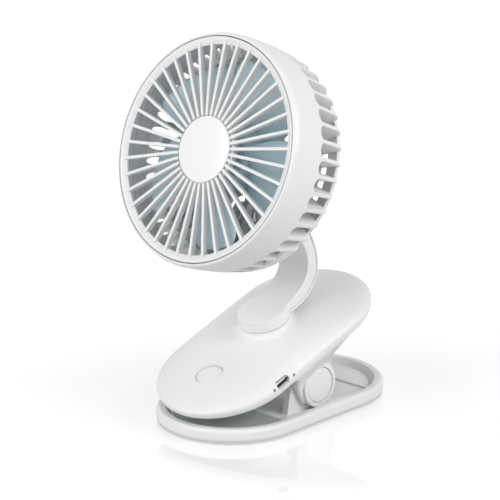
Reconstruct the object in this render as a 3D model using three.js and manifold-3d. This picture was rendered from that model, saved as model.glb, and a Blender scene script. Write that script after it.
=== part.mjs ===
// Clip fan: a rechargeable desk fan on a spring clip. Millimetres, +Z up, the fan blows towards -Y.
// The origin is the middle of the base's underside. +X is the side with the charging socket.
import * as THREE from 'three';
import { mergeVertices } from 'three/addons/utils/BufferGeometryUtils.js';
import Module from 'manifold-3d';

const wasm = await Module();
wasm.setup();

// ---------------------------------------------------------------- driving dimensions
const GAP = 0.3; // between pieces that touch
const DEG = Math.PI / 180;

const BASE = { halfWidth: 39.7, front: -69.75, rear: 69.75 }; // outline of the lower jaw
const BASE_FLOOR = 3.6; // top of the tray floor
const BASE_UNDERSIDE = 2.1; // underside of the tray floor
const FOOT_PAD_INSET = 5;

const PIVOT = { y: 4.8, z: 16.25 }; // axle of the clip, along X
const PIN_RADIUS = 2.5;
const LUG = { inner: 22.4, outer: 25.2, radius: 8.6 }; // two plates on the base that carry the axle
const EAR = { inner: 25.7, outer: 28.3, ringFace: 30.2, ringRadius: 11.9, capRadius: 9.24 };

const CLIP_SLOPE = 19.4 * DEG; // the upper jaw rises towards the rear
const CLIP_HEIGHT = 37.84; // of the clip's datum plane at y = 0
const CLIP = { halfWidth: 38.1, front: -73, rear: 62.2 }; // outline in the sloped plane
const CLIP_WALL = 2.2;
const CLIP_LIP = -3; // lower edge, below the datum plane
const DOME = { crown: 8.7, crownAt: -2, fall: 1.8, fallOver: 45, rise: 2.2, round: 2.4 };
const COVER_TOP = -1.4; // inner face of the clip's bottom cover

const BUTTON = { v: -47.35, radius: 7.1, top: 6.3, flangeRadius: 8.1 };
const SOCKET = { v: -32.8, n: 2.2, length: 9.0, height: 3.2, depth: 7.3 };
const LED = { n: 1.75, spacing: 14.6, radius: 0.6 };

const BOSS = { v: -1.94, n: 11.35, radius: 13.7 }; // swivel seat on top of the clip
const FOOT = { top: 6.84, radius: 13.3 }; // round foot of the arm
const ARM_HALF_WIDTH = 10.3;
const ARM_SKIN = 2.2;
const ARM_COVER = 1.2; // thickness of the arm's back cover
const FORK_HALF_GAP = 5; // between the two cheeks at the arm's top
const TILT = { v: 14.9, n: 54.3, radius: 7, pin: 2.2 }; // tilt axle, in the arm's frame

const HEAD = { y: -50.63, z: 147.19, tilt: 19.44 * DEG }; // middle of the rim and the fan's upward tilt
const RIM_RADIUS = 57; // dark joint between grille and housing
const BARREL_RADIUS = 59.35;
const HEAD_DEPTH = 44.5;
const REAR_CORNER = 10; // radius of the rounded rear edge
const FIN_COUNT = 42;
const FIN_THICKNESS = 2;
const FIN_PHASE = -0.4 * DEG;
const REAR_HUB = 23; // radius of the plate in the middle of the rear grille
const REAR_RINGS = [32.4, 40.2, 47.8];
const RIB_COUNT = 39;
const RIB_WIDTH = 1.6;
const RIB_PHASE = -6.3 * DEG;
const HUB_DISC_RADIUS = 16.75;

const BLADE_COUNT = 5;
const BLADE_PHASE = 36 * DEG;
const BLADE_THICKNESS = 1.5;
const IMPELLER = { hub: 21, tip: 48.5, front: -8.6, rear: -25 };
const MOTOR = { radius: 14.5, front: -15, rear: -40.8, bearing: 4, bearingDepth: 2 };
const SHAFT_RADIUS = 1.25;

const SPRING = { radius: 4.7, wire: 1.8, turns: 7, pitch: 2.75, steps: 8, sides: 5 };

// ---------------------------------------------------------------- materials
const plastic = (color, roughness = 0.4) => new THREE.MeshStandardMaterial({ color, roughness });
const metal = (color, roughness = 0.35) => new THREE.MeshStandardMaterial({ color, roughness, metalness: 1 });
const WHITE = plastic(0xf0f0ef);
const DISC_WHITE = plastic(0xf6f6f6, 0.3);
const BLADE_BLUE = plastic(0x9fb6bf, 0.35);
const PAD_GREY = plastic(0xa3abaa, 0.8);
const BOARD_GREEN = plastic(0x2f6b4a, 0.6);
const CELL_FILM = plastic(0x9aa3ad, 0.4);
const LEAD_JACKET = plastic(0x3a3a3a, 0.6);
const LIGHT_PIPE = plastic(0xdfe6ea, 0.2);
const SWITCH_BLACK = plastic(0x2a2a2c, 0.5);
const STEEL = metal(0xb9bcc0);
const SPRING_STEEL = metal(0x8d9094);
const BRONZE = metal(0xa88a5a);
const MOTOR_STEEL = metal(0xa9adb2);

// ---------------------------------------------------------------- solids from geometries
function meshVolume(position, index) {
  const [a, b, c] = [new THREE.Vector3(), new THREE.Vector3(), new THREE.Vector3()];
  let sum = 0;
  for (let i = 0; i < index.length; i += 3) {
    a.fromArray(position, 3 * index[i]);
    b.fromArray(position, 3 * index[i + 1]);
    c.fromArray(position, 3 * index[i + 2]);
    sum += a.dot(b.cross(c));
  }
  return sum / 6;
}

// A closed geometry becomes a solid: shared vertices merged, slivers at poles dropped, faces outwards.
function solid(geometry, matrix) {
  const shape = geometry.clone();
  if (matrix) shape.applyMatrix4(matrix);
  for (const name of ['normal', 'uv']) shape.deleteAttribute(name);
  const merged = mergeVertices(shape, 1e-4);
  const position = merged.attributes.position.array;
  const kept = [];
  const source = merged.index.array;
  for (let i = 0; i < source.length; i += 3) {
    const [a, b, c] = source.subarray(i, i + 3);
    if (a !== b && b !== c && c !== a) kept.push(a, b, c);
  }
  const triVerts = new Uint32Array(kept);
  if (meshVolume(position, triVerts) < 0) {
    for (let i = 0; i < triVerts.length; i += 3) {
      [triVerts[i + 1], triVerts[i + 2]] = [triVerts[i + 2], triVerts[i + 1]];
    }
  }
  return new wasm.Manifold(new wasm.Mesh({ numProp: 3, vertProperties: position, triVerts }));
}

const joined = (bodies) => bodies.reduce((sum, body) => sum.add(body));
const cutFrom = (body, tools) => tools.reduce((rest, tool) => rest.subtract(tool), body);

// A grid of points, rows by columns, becomes a closed solid: columns wrap round, ends are fans.
function loftedRings(rings) {
  const count = rings[0].length;
  const points = rings.flat();
  const index = [];
  for (let row = 0; row + 1 < rings.length; row++) {
    for (let k = 0; k < count; k++) {
      const a = row * count + k;
      const b = row * count + ((k + 1) % count);
      index.push(a, b, b + count, a, b + count, a + count);
    }
  }
  for (const [row, turn] of [[0, 1], [rings.length - 1, -1]]) {
    const middle = points.length;
    const ring = rings[row];
    const sum = ring.reduce((total, p) => [total[0] + p[0], total[1] + p[1], total[2] + p[2]], [0, 0, 0]);
    points.push(sum.map((value) => value / count));
    for (let k = 0; k < count; k++) {
      const a = row * count + k;
      const b = row * count + ((k + 1) % count);
      index.push(...(turn > 0 ? [a, middle, b] : [a, b, middle]));
    }
  }
  const geometry = new THREE.BufferGeometry();
  geometry.setAttribute('position', new THREE.Float32BufferAttribute(points.flat(), 3));
  geometry.setIndex(index);
  return solid(geometry);
}

// Revolves a profile of [radius, z] about Z. One that leaves the axis closes on itself.
function turned(profile, segments) {
  const closed = profile[0][0] > 0 ? [...profile, profile[0]] : profile;
  const points = closed.map(([r, z]) => new THREE.Vector2(r, z));
  return solid(new THREE.LatheGeometry(points, segments), new THREE.Matrix4().makeRotationX(Math.PI / 2));
}

// Revolved in as many flats as there are fins or ribs, so that each edge between two flats lies in one of
// them. The plain solid has its first edge on -Y.
function turnedInStep(profile, count, phase) {
  return turned(profile, count).rotate([0, 0, 90 + phase / DEG]);
}

// The same, about an axis along X through (y, z); the profile is [radius, x].
function turnedAlongX(profile, segments, y, z) {
  const closed = profile[0][0] > 0 ? [...profile, profile[0]] : profile;
  const points = closed.map(([r, x]) => new THREE.Vector2(r, x));
  const matrix = new THREE.Matrix4().makeRotationZ(-Math.PI / 2).setPosition(0, y, z);
  return solid(new THREE.LatheGeometry(points, segments), matrix);
}

// A flat outline [[y, z], ...] becomes a plate from x0 to x1.
function plateAcross(outline, x0, x1) {
  const shape = new THREE.Shape(outline.map(([y, z]) => new THREE.Vector2(y, z)));
  const geometry = new THREE.ExtrudeGeometry(shape, { depth: x1 - x0, bevelEnabled: false });
  const matrix = new THREE.Matrix4().makeBasis(
    new THREE.Vector3(0, 1, 0), new THREE.Vector3(0, 0, 1), new THREE.Vector3(1, 0, 0));
  return solid(geometry, matrix.setPosition(x0, 0, 0));
}

// A flat outline [[x, z], ...] becomes a bar from y0 to y1.
function barAlong(outline, y0, y1) {
  const shape = new THREE.Shape(outline.map(([x, z]) => new THREE.Vector2(x, z)));
  const geometry = new THREE.ExtrudeGeometry(shape, { depth: y1 - y0, bevelEnabled: false });
  const matrix = new THREE.Matrix4().makeRotationX(Math.PI / 2).setPosition(0, y1, 0);
  return solid(geometry, matrix);
}

function box(x0, x1, y0, y1, z0, z1) {
  const geometry = new THREE.BoxGeometry(x1 - x0, y1 - y0, z1 - z0);
  const middle = [(x0 + x1) / 2, (y0 + y1) / 2, (z0 + z1) / 2];
  return solid(geometry, new THREE.Matrix4().setPosition(...middle));
}

function disc(radius, z0, z1, x = 0, y = 0, segments = 20) {
  const geometry = new THREE.CylinderGeometry(radius, radius, z1 - z0, segments);
  const matrix = new THREE.Matrix4().makeRotationX(Math.PI / 2).setPosition(x, y, (z0 + z1) / 2);
  return solid(geometry, matrix);
}

// A pan-head screw along Z: the head from `head` to `seat`, the shank on to `tip`.
function screw(x, y, head, seat, tip, headRadius, shankRadius) {
  const profile = [[0, head], [headRadius, head], [headRadius, seat], [shankRadius, seat],
    [shankRadius, tip], [0, tip]];
  return turned(profile, 6).translate([x, y, 0]);
}

// ---------------------------------------------------------------- stadium outlines
const ARC_STEPS = 10;
const SIDE_STEPS = 3; // along a straight side, where the height changes

// One ring of a stadium drawn in by `inset`: two half circles with straight sides between them.
function stadiumRing(outline, inset, height) {
  const radius = outline.halfWidth - inset;
  const [rearEnd, frontEnd] = [outline.rear - outline.halfWidth, outline.front + outline.halfWidth];
  const places = [];
  for (const [end, side] of [[rearEnd, 1], [frontEnd, -1]]) {
    for (let k = 0; k <= ARC_STEPS; k++) {
      const angle = (Math.PI * k) / ARC_STEPS;
      places.push([side * radius * Math.cos(angle), end + side * radius * Math.sin(angle)]);
    }
    if (typeof height !== 'function') continue;
    for (let k = 1; k < SIDE_STEPS; k++) {
      const share = k / SIDE_STEPS;
      places.push([-side * radius, end + share * (side > 0 ? frontEnd - rearEnd : rearEnd - frontEnd)]);
    }
  }
  return places.map(([x, y]) => [x, y, typeof height === 'function' ? height(x, y) : height]);
}

const stadium = (outline, rings) => loftedRings(rings.map(([inset, z]) => stadiumRing(outline, inset, z)));

// ---------------------------------------------------------------- frames
const slopeCos = Math.cos(CLIP_SLOPE);
const slopeSin = Math.sin(CLIP_SLOPE);

// World (y, z) to the clip's own (v along the slope, n square to it).
function toClip(y, z) {
  const rise = z - CLIP_HEIGHT;
  return [y * slopeCos + rise * slopeSin, rise * slopeCos - y * slopeSin];
}

const fan = new THREE.Group();
const clipFrame = new THREE.Group();
clipFrame.position.set(0, 0, CLIP_HEIGHT);
clipFrame.rotation.x = CLIP_SLOPE;
const armFrame = new THREE.Group();
armFrame.position.set(0, BOSS.v, BOSS.n);
const headFrame = new THREE.Group(); // Z is the airflow, Y runs up the face, depth is -Z
headFrame.position.set(0, HEAD.y, HEAD.z);
headFrame.rotation.x = Math.PI / 2 - HEAD.tilt;
clipFrame.add(armFrame);
fan.add(clipFrame, headFrame);

// A finished solid, with the strips its cuts left on flat faces merged, becomes a named mesh.
function addPiece(frame, name, body, material) {
  const mesh = body.asOriginal().simplify().getMesh();
  const geometry = new THREE.BufferGeometry();
  geometry.setAttribute('position', new THREE.BufferAttribute(mesh.vertProperties, 3));
  geometry.setIndex(new THREE.BufferAttribute(mesh.triVerts, 1));
  geometry.computeVertexNormals();
  const piece = new THREE.Mesh(geometry, material);
  piece.name = name;
  frame.add(piece);
}

// ---------------------------------------------------------------- base: the lower jaw
const BASE_SCREW_X = 20.8;
const BASE_SCREW_Y = [-5, 13];
const BASE_SCREWS = [-1, 1].flatMap((side) => BASE_SCREW_Y.map((y) => [side * BASE_SCREW_X, y]));

// A triangular lug with a flange down its front edge; it carries the axle.
function lug(side) {
  const arc = [];
  for (let angle = 140; angle >= 10; angle -= 26) {
    arc.push([PIVOT.y + LUG.radius * Math.cos(angle * DEG), PIVOT.z + LUG.radius * Math.sin(angle * DEG)]);
  }
  const foot = BASE_FLOOR - 0.8;
  const outline = [[-14.6, foot], [-11.6, 18.6], ...arc, [19, foot]];
  const flange = [[-15.4, foot], [-12.4, 18.8], [-11, 19.4], [-13.4, foot]];
  const [inner, outer] = side > 0 ? [LUG.inner, LUG.outer] : [-LUG.outer, -LUG.inner];
  const flangeReach = 1.2;
  const parts = [plateAcross(outline, inner, outer)];
  parts.push(plateAcross(flange, inner - (side > 0 ? flangeReach : 0), outer + (side > 0 ? 0 : flangeReach)));
  for (const y of BASE_SCREW_Y) parts.push(disc(2.7, foot, 9, side * BASE_SCREW_X, y, 10));
  return joined(parts);
}

function baseShell() {
  const tray = stadium(BASE, [
    [2.9, BASE_UNDERSIDE], [2.6, 1.1], [0.6, 1.1], [0.1, 2.3], [0, 4.4], [0.7, 6.4], [3.3, 7.7],
    [5.4, 7], [6.9, 5], [8.4, BASE_FLOOR], [30, BASE_FLOOR]]);
  const step = stadium({ ...BASE, front: 43 - 2 * BASE.halfWidth + 12 }, [
    [8.2, BASE_FLOOR - 0.4], [8.6, BASE_FLOOR + 0.7], [10, BASE_FLOOR + 1], [30, BASE_FLOOR + 1]]);
  const rearStep = step.subtract(box(-40, 40, -80, 43, 0, 10));
  const pinHole = turnedAlongX([[0, -30], [PIN_RADIUS + 0.2, -30], [PIN_RADIUS + 0.2, 30], [0, 30]], 20,
    PIVOT.y, PIVOT.z);
  const pilots = BASE_SCREWS.map(([x, y]) => disc(1.25, -1, 8, x, y, 8));
  return cutFrom(joined([tray, rearStep, lug(1), lug(-1)]), [pinHole, ...pilots]);
}

function baseBottomPlate() {
  const lip = stadium(BASE, [[0.9, GAP], [0.45, 0.5], [0.5, 0.9], [30, 0.9]]);
  const panel = stadium(BASE, [[3.2, 0.6], [3.2, 1.8], [30, 1.8]]);
  const padRecess = stadium(BASE, [[FOOT_PAD_INSET, 0], [FOOT_PAD_INSET, 1.1], [30, 1.1]]);
  const holes = BASE_SCREWS.map(([x, y]) => disc(1.45, 0, 3, x, y, 8));
  return cutFrom(lip.add(panel), [padRecess, ...holes]);
}

// Soft sheet under the base, let into the plate; the screws show through holes in it.
function footPad() {
  const sheet = stadium(BASE, [[FOOT_PAD_INSET + 0.5, 0], [FOOT_PAD_INSET + GAP, 0.8], [30, 0.8]]);
  return cutFrom(sheet, BASE_SCREWS.map(([x, y]) => disc(3, -1, 2, x, y, 10)));
}

function lowerJawPad() {
  const pad = stadium({ ...BASE, rear: BASE.halfWidth + 4 }, [
    [9.4, BASE_FLOOR + GAP], [9.2, BASE_FLOOR + 0.9], [9.8, BASE_FLOOR + 1.3], [30, BASE_FLOOR + 1.3]]);
  return pad.subtract(box(-40, 40, -24, 90, 0, 10));
}

function pivotPin() {
  const end = EAR.outer - 0.1;
  return turnedAlongX([[0, -end], [PIN_RADIUS, -end], [PIN_RADIUS, end], [0, end]], 20, PIVOT.y, PIVOT.z);
}

// Torsion spring: a coil round the axle, one leg down to the tray, one up to the clip's cover. Both
// legs leave the coil along its tangent.
class SpringCurve extends THREE.Curve {
  constructor() {
    super();
    this.halfLength = (SPRING.turns * SPRING.pitch) / 2;
    this.legShare = 0.12; // of the curve's parameter, for each leg
    const underCover = CLIP_LIP - SPRING.wire / 2 - GAP;
    const [upperY, upperZ] = [33, CLIP_HEIGHT + (underCover + 33 * slopeSin) / slopeCos];
    this.start = new THREE.Vector3(-this.halfLength, 37, BASE_FLOOR + SPRING.wire / 2 + GAP);
    this.end = new THREE.Vector3(this.halfLength, upperY, upperZ);
    this.from = this.tangentAngle(this.start, -1);
    this.sweep = this.from - this.tangentAngle(this.end, 1) + 2 * Math.PI * (SPRING.turns + 1);
  }

  tangentAngle(point, side) {
    const [dy, dz] = [point.y - PIVOT.y, point.z - PIVOT.z];
    return Math.atan2(dz, dy) + side * Math.acos(SPRING.radius / Math.hypot(dy, dz));
  }

  coilPoint(share) {
    const angle = this.from - share * this.sweep;
    const [dy, dz] = [SPRING.radius * Math.cos(angle), SPRING.radius * Math.sin(angle)];
    return new THREE.Vector3(this.halfLength * (2 * share - 1), PIVOT.y + dy, PIVOT.z + dz);
  }

  getPoint(t, target = new THREE.Vector3()) {
    const coil = (t - this.legShare) / (1 - 2 * this.legShare);
    if (coil < 0) return target.lerpVectors(this.start, this.coilPoint(0), t / this.legShare);
    if (coil > 1) return target.lerpVectors(this.coilPoint(1), this.end, 1 - (1 - t) / this.legShare);
    return target.copy(this.coilPoint(coil));
  }
}

// Least clear distance between one turn of the wire and the next ones, found on points.
function springGap(curve) {
  const points = curve.getPoints(400);
  const nextTurn = Math.round((400 * (1 - 2 * curve.legShare)) / SPRING.turns / 2);
  let least = Infinity;
  for (let i = 0; i < points.length; i++) {
    for (let k = i + nextTurn; k < points.length; k++) {
      least = Math.min(least, points[i].distanceTo(points[k]));
    }
  }
  return least - SPRING.wire;
}

function torsionSpring() {
  const curve = new SpringCurve();
  const section = new THREE.Shape();
  for (let k = 0; k < SPRING.sides; k++) {
    const angle = (2 * Math.PI * k) / SPRING.sides;
    const point = [0.5 * SPRING.wire * Math.cos(angle), 0.5 * SPRING.wire * Math.sin(angle)];
    if (k) section.lineTo(...point);
    else section.moveTo(...point);
  }
  console.log(`torsion spring: least gap to itself ${springGap(curve).toFixed(2)} mm`);
  const steps = Math.round((SPRING.steps * SPRING.turns) / (1 - 2 * curve.legShare));
  return solid(new THREE.ExtrudeGeometry(section, { steps, bevelEnabled: false, extrudePath: curve }));
}

// ---------------------------------------------------------------- clip: the upper jaw
const [PIVOT_V, PIVOT_N] = toClip(PIVOT.y, PIVOT.z);

// Height of the crowned top: a superellipse across the rim on a crown that falls away lengthwise.
function domeHeight(inset, v, drop = 0) {
  const crown = DOME.crown - DOME.fall * ((v - DOME.crownAt) / DOME.fallOver) ** 2 - drop;
  const share = Math.min(1, inset / CLIP.halfWidth);
  return 0.2 + (crown - 0.2) * (1 - (1 - share) ** DOME.rise) ** (1 / DOME.round);
}

// The dome from its rim to its crown, `drop` lower and `shift` further in.
function domeRings(insets, drop, shift) {
  return insets.map((inset) => stadiumRing(CLIP, inset + shift, (x, v) => domeHeight(inset, v, drop)));
}

const lipRing = (inset, height) => stadiumRing(CLIP, inset, () => height);

// One ear: its section sweeps from the body's side in to the axle ring; its side view is cut out of that.
function ear(side) {
  const section = [[37.3, -1.4], [36.7, -3.6], [34.9, -6.4], [32, -9.8], [29.7, -13.6], [28.6, -18],
    [EAR.outer, -22], [EAR.outer, -36], [EAR.inner, -36], [EAR.inner, -1.4]];
  const swept = barAlong(section.map(([x, n]) => [side * x, n]), -26, 24);
  const round = [];
  for (let angle = 188; angle <= 352; angle += 20.5) {
    const [dv, dn] = [Math.cos(angle * DEG), Math.sin(angle * DEG)];
    round.push([PIVOT_V + EAR.ringRadius * dv, PIVOT_N + EAR.ringRadius * dn]);
  }
  const outline = [[-25, -1.2], [-25, -2.6], [-21.6, -4.6], [-19.3, -8.6], [-17.3, -16], ...round,
    [9.6, -15], [10.4, -11], [12.4, -7.4], [15.6, -4.4], [20, -2.6], [20, -1.2]];
  const [from, to] = side > 0 ? [20, 40] : [-40, -20];
  const face = swept.intersect(plateAcross(outline, from, to));
  const ring = turnedAlongX([[0, side * EAR.inner], [EAR.ringRadius, side * EAR.inner],
    [EAR.ringRadius - 0.3, side * EAR.ringFace], [0, side * EAR.ringFace]], 24, PIVOT_V, PIVOT_N);
  const capSeat = turnedAlongX([[0, side * EAR.outer], [EAR.capRadius + GAP, side * EAR.outer],
    [EAR.capRadius + GAP, side * 40], [0, side * 40]], 24, PIVOT_V, PIVOT_N);
  return face.add(ring).subtract(capSeat);
}

// Screw posts under the roof of the clip: x, v and height of the post's end.
const CLIP_BOSSES = [[-13, -63, 2.2], [13, -63, 2.2], [-24, 36, 3.6], [24, 36, 3.6]];

function clipTopCover() {
  const outside = loftedRings([lipRing(1.6, CLIP_LIP), lipRing(0.4, CLIP_LIP + 1.2),
    ...domeRings([0, 0.5, 1.8, 4.5, 9, 16, 27], 0, 0)]);
  const inside = loftedRings([lipRing(CLIP_WALL, CLIP_LIP - 1),
    ...domeRings([0, 1.5, 6, 20], CLIP_WALL, CLIP_WALL)]);
  const collar = turned([[0, 6.8], [17.5, 6.8], [17.5, 8.2], [15.4, 9.1], [14.2, 10.3],
    [BOSS.radius, BOSS.n - 0.15], [0, BOSS.n - 0.15]], 26).translate([0, BOSS.v, 0]);
  const posts = CLIP_BOSSES.map(([x, v, top]) => disc(2.6, -1.1, top, x, v, 8));
  const shell = joined([outside.subtract(inside), collar, ear(1), ear(-1), ...posts]);
  const slotShape = [];
  for (let k = 0; k < 12; k++) {
    const angle = (k + 0.5) * 30 * DEG;
    const reach = (SOCKET.length - SOCKET.height) / 2;
    const radius = SOCKET.height / 2 + 0.25;
    slotShape.push([SOCKET.v + Math.sign(Math.cos(angle)) * reach + radius * Math.cos(angle),
      SOCKET.n + radius * Math.sin(angle)]);
  }
  const spigotHole = disc(6.3, 0, 14, 0, BOSS.v, 18).add(disc(9.6, 0, 5.7, 0, BOSS.v, 18));
  const buttonHole = disc(BUTTON.radius + GAP, 0, 14, 0, BUTTON.v, 24);
  const ledBore = [[0, 30], [LED.radius + 0.2, 30], [LED.radius + 0.2, 40], [0, 40]];
  const ledHoles = ledPlaces().map((v) => turnedAlongX(ledBore, 10, v, LED.n));
  const axle = turnedAlongX([[0, -32], [PIN_RADIUS + 0.2, -32], [PIN_RADIUS + 0.2, 32], [0, 32]], 20,
    PIVOT_V, PIVOT_N);
  const pilots = CLIP_BOSSES.map(([x, v, top]) => disc(1.25, -4, top - 0.8, x, v, 8));
  const slot = plateAcross(slotShape, 28.5, 40);
  return cutFrom(shell, [spigotHole, buttonHole, slot, ...ledHoles, axle, ...pilots]);
}

const ledPlaces = () => [SOCKET.v + 0.4 - LED.spacing / 2, SOCKET.v + 0.4 + LED.spacing / 2];

function clipBottomCover() {
  const plate = stadium(CLIP, [[CLIP_WALL + 0.5, CLIP_LIP], [CLIP_WALL + GAP, CLIP_LIP + 0.3],
    [CLIP_WALL + GAP, COVER_TOP], [30, COVER_TOP]]);
  const earSpans = [[EAR.inner - GAP, 40], [-40, GAP - EAR.inner]];
  const earNotches = earSpans.map(([x0, x1]) => box(x0, x1, -25.4, 20.4, -5, 0));
  const screwHoles = CLIP_BOSSES.map(([x, v]) => disc(1.45, -5, 0, x, v, 8));
  const screwSeats = CLIP_BOSSES.map(([x, v]) => disc(2.6, -5, CLIP_LIP + 1, x, v, 10));
  return cutFrom(plate, [...earNotches, ...screwHoles, ...screwSeats]);
}

// Ribbed rubber under the nose of the upper jaw.
function upperJawPad() {
  const outline = { ...CLIP, rear: CLIP.halfWidth };
  const top = CLIP_LIP - GAP;
  const sheet = stadium(outline, [[9, top], [8.6, top - 0.4], [8.8, top - 1.6], [30, top - 1.6]])
    .subtract(box(-40, 40, -38, 90, -20, 5));
  const ribs = [-60, -54.5, -49, -43.5].map((v) => {
    const halfLength = Math.sqrt(29.5 ** 2 - (v - CLIP.front - CLIP.halfWidth) ** 2) - 2.5;
    return box(-halfLength, halfLength, v - 1.2, v + 1.2, top - 2.6, top - 1);
  });
  const seats = CLIP_BOSSES.slice(0, 2).map(([x, v]) => disc(3, -20, 0, x, v, 12));
  return cutFrom(joined([sheet, ...ribs]), seats);
}

function pivotCap(side) {
  const face = EAR.ringFace - 0.2;
  return turnedAlongX([[0, side * (EAR.outer + 0.2)], [EAR.capRadius, side * (EAR.outer + 0.2)],
    [EAR.capRadius, side * (face - 0.4)], [EAR.capRadius - 0.4, side * face], [0, side * (face + 0.1)]],
  24, PIVOT_V, PIVOT_N);
}

function powerButton() {
  const profile = [[0, 2.2], [BUTTON.flangeRadius, 2.2], [BUTTON.flangeRadius, 2.8], [BUTTON.radius, 2.8],
    [BUTTON.radius, BUTTON.top - 0.25], [BUTTON.radius - 0.3, BUTTON.top], [0, BUTTON.top + 0.1]];
  return turned(profile, 24).translate([0, BUTTON.v, 0]);
}

function tactSwitch() {
  return joined([box(-3, 3, BUTTON.v - 3, BUTTON.v + 3, 0.4, 1.1), disc(1.7, 1, 1.5, 0, BUTTON.v, 12)]);
}

function circuitBoard() {
  const right = box(-22, 33.2, -45, -26, -1.1, 0.1);
  return right.add(box(-22, 22, -58, -26, -1.1, 0.1));
}

// A flat metal tube with a tongue inside, open towards +X.
function usbSocket() {
  const tube = (grow) => {
    const points = [];
    const reach = (SOCKET.length - SOCKET.height) / 2;
    const radius = SOCKET.height / 2 + grow;
    for (let k = 0; k < 12; k++) {
      const angle = (k + 0.5) * 30 * DEG;
      points.push([SOCKET.v + Math.sign(Math.cos(angle)) * reach + radius * Math.cos(angle),
        SOCKET.n + radius * Math.sin(angle)]);
    }
    return points;
  };
  const mouth = 36.6;
  const back = mouth - SOCKET.depth;
  const shell = plateAcross(tube(0), back, mouth).subtract(plateAcross(tube(-0.35), back + 1, mouth + 1));
  const tongue = box(back + 0.5, mouth - 1, SOCKET.v - 3.2, SOCKET.v + 3.2, SOCKET.n - 0.35, SOCKET.n + 0.35);
  return shell.add(tongue);
}

function ledPipe(v) {
  return turnedAlongX([[0, 32], [LED.radius, 32], [LED.radius, 37.2], [0, 37.3]], 10, v, LED.n);
}

// ---------------------------------------------------------------- arm
const asPoints = (list) => list.map(([v, n]) => new THREE.Vector2(v, n));
// The two long edges of the arm's side view, foot to top.
const armInner = new THREE.SplineCurve(asPoints([[4, 6.84], [9, 6.9], [15, 7.6], [21, 9.3], [26.2, 12.4],
  [29.5, 17.2], [30.9, 22.5], [30.6, 28], [28.6, 33.5], [25, 38.6], [20, 43.4], [14.6, 46.9]]));
const armOuter = new THREE.SplineCurve(asPoints([[6, 0.5], [15, 0.4], [21, 1.0], [27.5, 3.3], [33, 7.6],
  [36.8, 13.1], [38.4, 19.9], [38.5, 27], [37.2, 35.5], [33.7, 43], [28, 50.4], [20.2, 58.6]]));

// Points of an edge moved sideways by `offset`; positive is to the left of its direction.
function edgePoints(curve, count, offset, from = 0, to = 1) {
  const points = [];
  for (let k = 0; k <= count; k++) {
    const t = from + ((to - from) * k) / count;
    const place = curve.getPoint(t);
    const heading = curve.getTangent(t);
    points.push([place.x - offset * heading.y, place.y + offset * heading.x]);
  }
  return points;
}

function tiltArc(fromDegrees, toDegrees, count, radius = TILT.radius) {
  const points = [];
  for (let k = 0; k <= count; k++) {
    const angle = (fromDegrees + ((toDegrees - fromDegrees) * k) / count) * DEG;
    points.push([TILT.v + radius * Math.cos(angle), TILT.n + radius * Math.sin(angle)]);
  }
  return points;
}

const tiltBore = () => turnedAlongX([[0, -12], [TILT.pin + 0.2, -12], [TILT.pin + 0.2, 12], [0, 12]], 18,
  TILT.v, TILT.n);

function armFrontShell() {
  const seam = edgePoints(armOuter, 12, ARM_COVER + 0.2).reverse();
  const band = plateAcross([...edgePoints(armInner, 13, 0), ...tiltArc(-115, -310, 7), ...seam],
    -ARM_HALF_WIDTH, ARM_HALF_WIDTH);
  const foot = turned([[0, 0.15], [FOOT.radius + 0.2, 0.15], [FOOT.radius + 0.4, 0.6],
    [FOOT.radius, FOOT.top - 0.5], [FOOT.radius - 0.5, FOOT.top], [0, FOOT.top]], 32);
  const spigot = disc(6, -5.9, 1, 0, 0, 20);
  const channel = plateAcross([...edgePoints(armInner, 8, -ARM_SKIN, 0.12, 0.78),
    ...edgePoints(armOuter, 8, -2, 0.12, 0.78).reverse()], ARM_SKIN - ARM_HALF_WIDTH,
  ARM_HALF_WIDTH - ARM_SKIN);
  const footFloor = disc(FOOT.radius, 0.2, 1.8, 0, 0, 32);
  const fork = plateAcross([[32, 30], [32, 37], [25.5, 46], [25.5, 64], [4, 64], [4, 40], [22, 30]],
    -FORK_HALF_GAP, FORK_HALF_GAP);
  const tick = plateAcross([[28, 24.8], [32, 24.8], [32, 29], [28, 29]], -2.2, -1.7);
  const pilot = disc(1.5, -7, 4, 0, 0, 8);
  const hollow = channel.subtract(footFloor);
  return cutFrom(joined([band, foot, spigot]), [hollow, fork, tick, tiltBore(), pilot]);
}

function armBackCover() {
  const strip = plateAcross([...edgePoints(armOuter, 12, 0, 0, 0.97),
    ...edgePoints(armOuter, 12, ARM_COVER, 0, 0.97).reverse()], -ARM_HALF_WIDTH, ARM_HALF_WIDTH);
  const forkEnd = plateAcross([[14, 50], [36, 50], [36, 64], [14, 64]], -FORK_HALF_GAP, FORK_HALF_GAP);
  return cutFrom(strip, [disc(FOOT.radius + 0.7, -5, 8, 0, 0, 32), forkEnd]);
}

// The lead to the motor, where it runs inside the arm.
function motorLead() {
  const line = edgePoints(armInner, 9, -ARM_SKIN - 1.7, 0.2, 0.72);
  const route = line.map(([v, n]) => new THREE.Vector3(0, v, n));
  const section = new THREE.Shape();
  section.absarc(0, 0, 1, 0, 2 * Math.PI);
  const extrudePath = new THREE.CatmullRomCurve3(route);
  const settings = { steps: 9, bevelEnabled: false, extrudePath, curveSegments: 5 };
  return solid(new THREE.ExtrudeGeometry(section, settings));
}

function tiltPin() {
  const end = ARM_HALF_WIDTH - 1.2;
  return turnedAlongX([[0, -end], [TILT.pin, -end], [TILT.pin, end], [0, end]], 18, TILT.v, TILT.n);
}

function tiltPinCap(side) {
  const profile = [[0, 9.4], [TILT.pin, 9.4], [TILT.pin, 10.5], [3.6, 10.5], [3.4, 11.1], [0, 11.3]];
  return turnedAlongX(profile.map(([r, x]) => [r, side * x]), 14, TILT.v, TILT.n);
}

function tiltWasher(side) {
  const profile = [[2.5, 4.55], [4.8, 4.55], [4.8, 4.85], [2.5, 4.85]];
  return turnedAlongX(profile.map(([r, x]) => [r, side * x]), 14, TILT.v, TILT.n);
}

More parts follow.
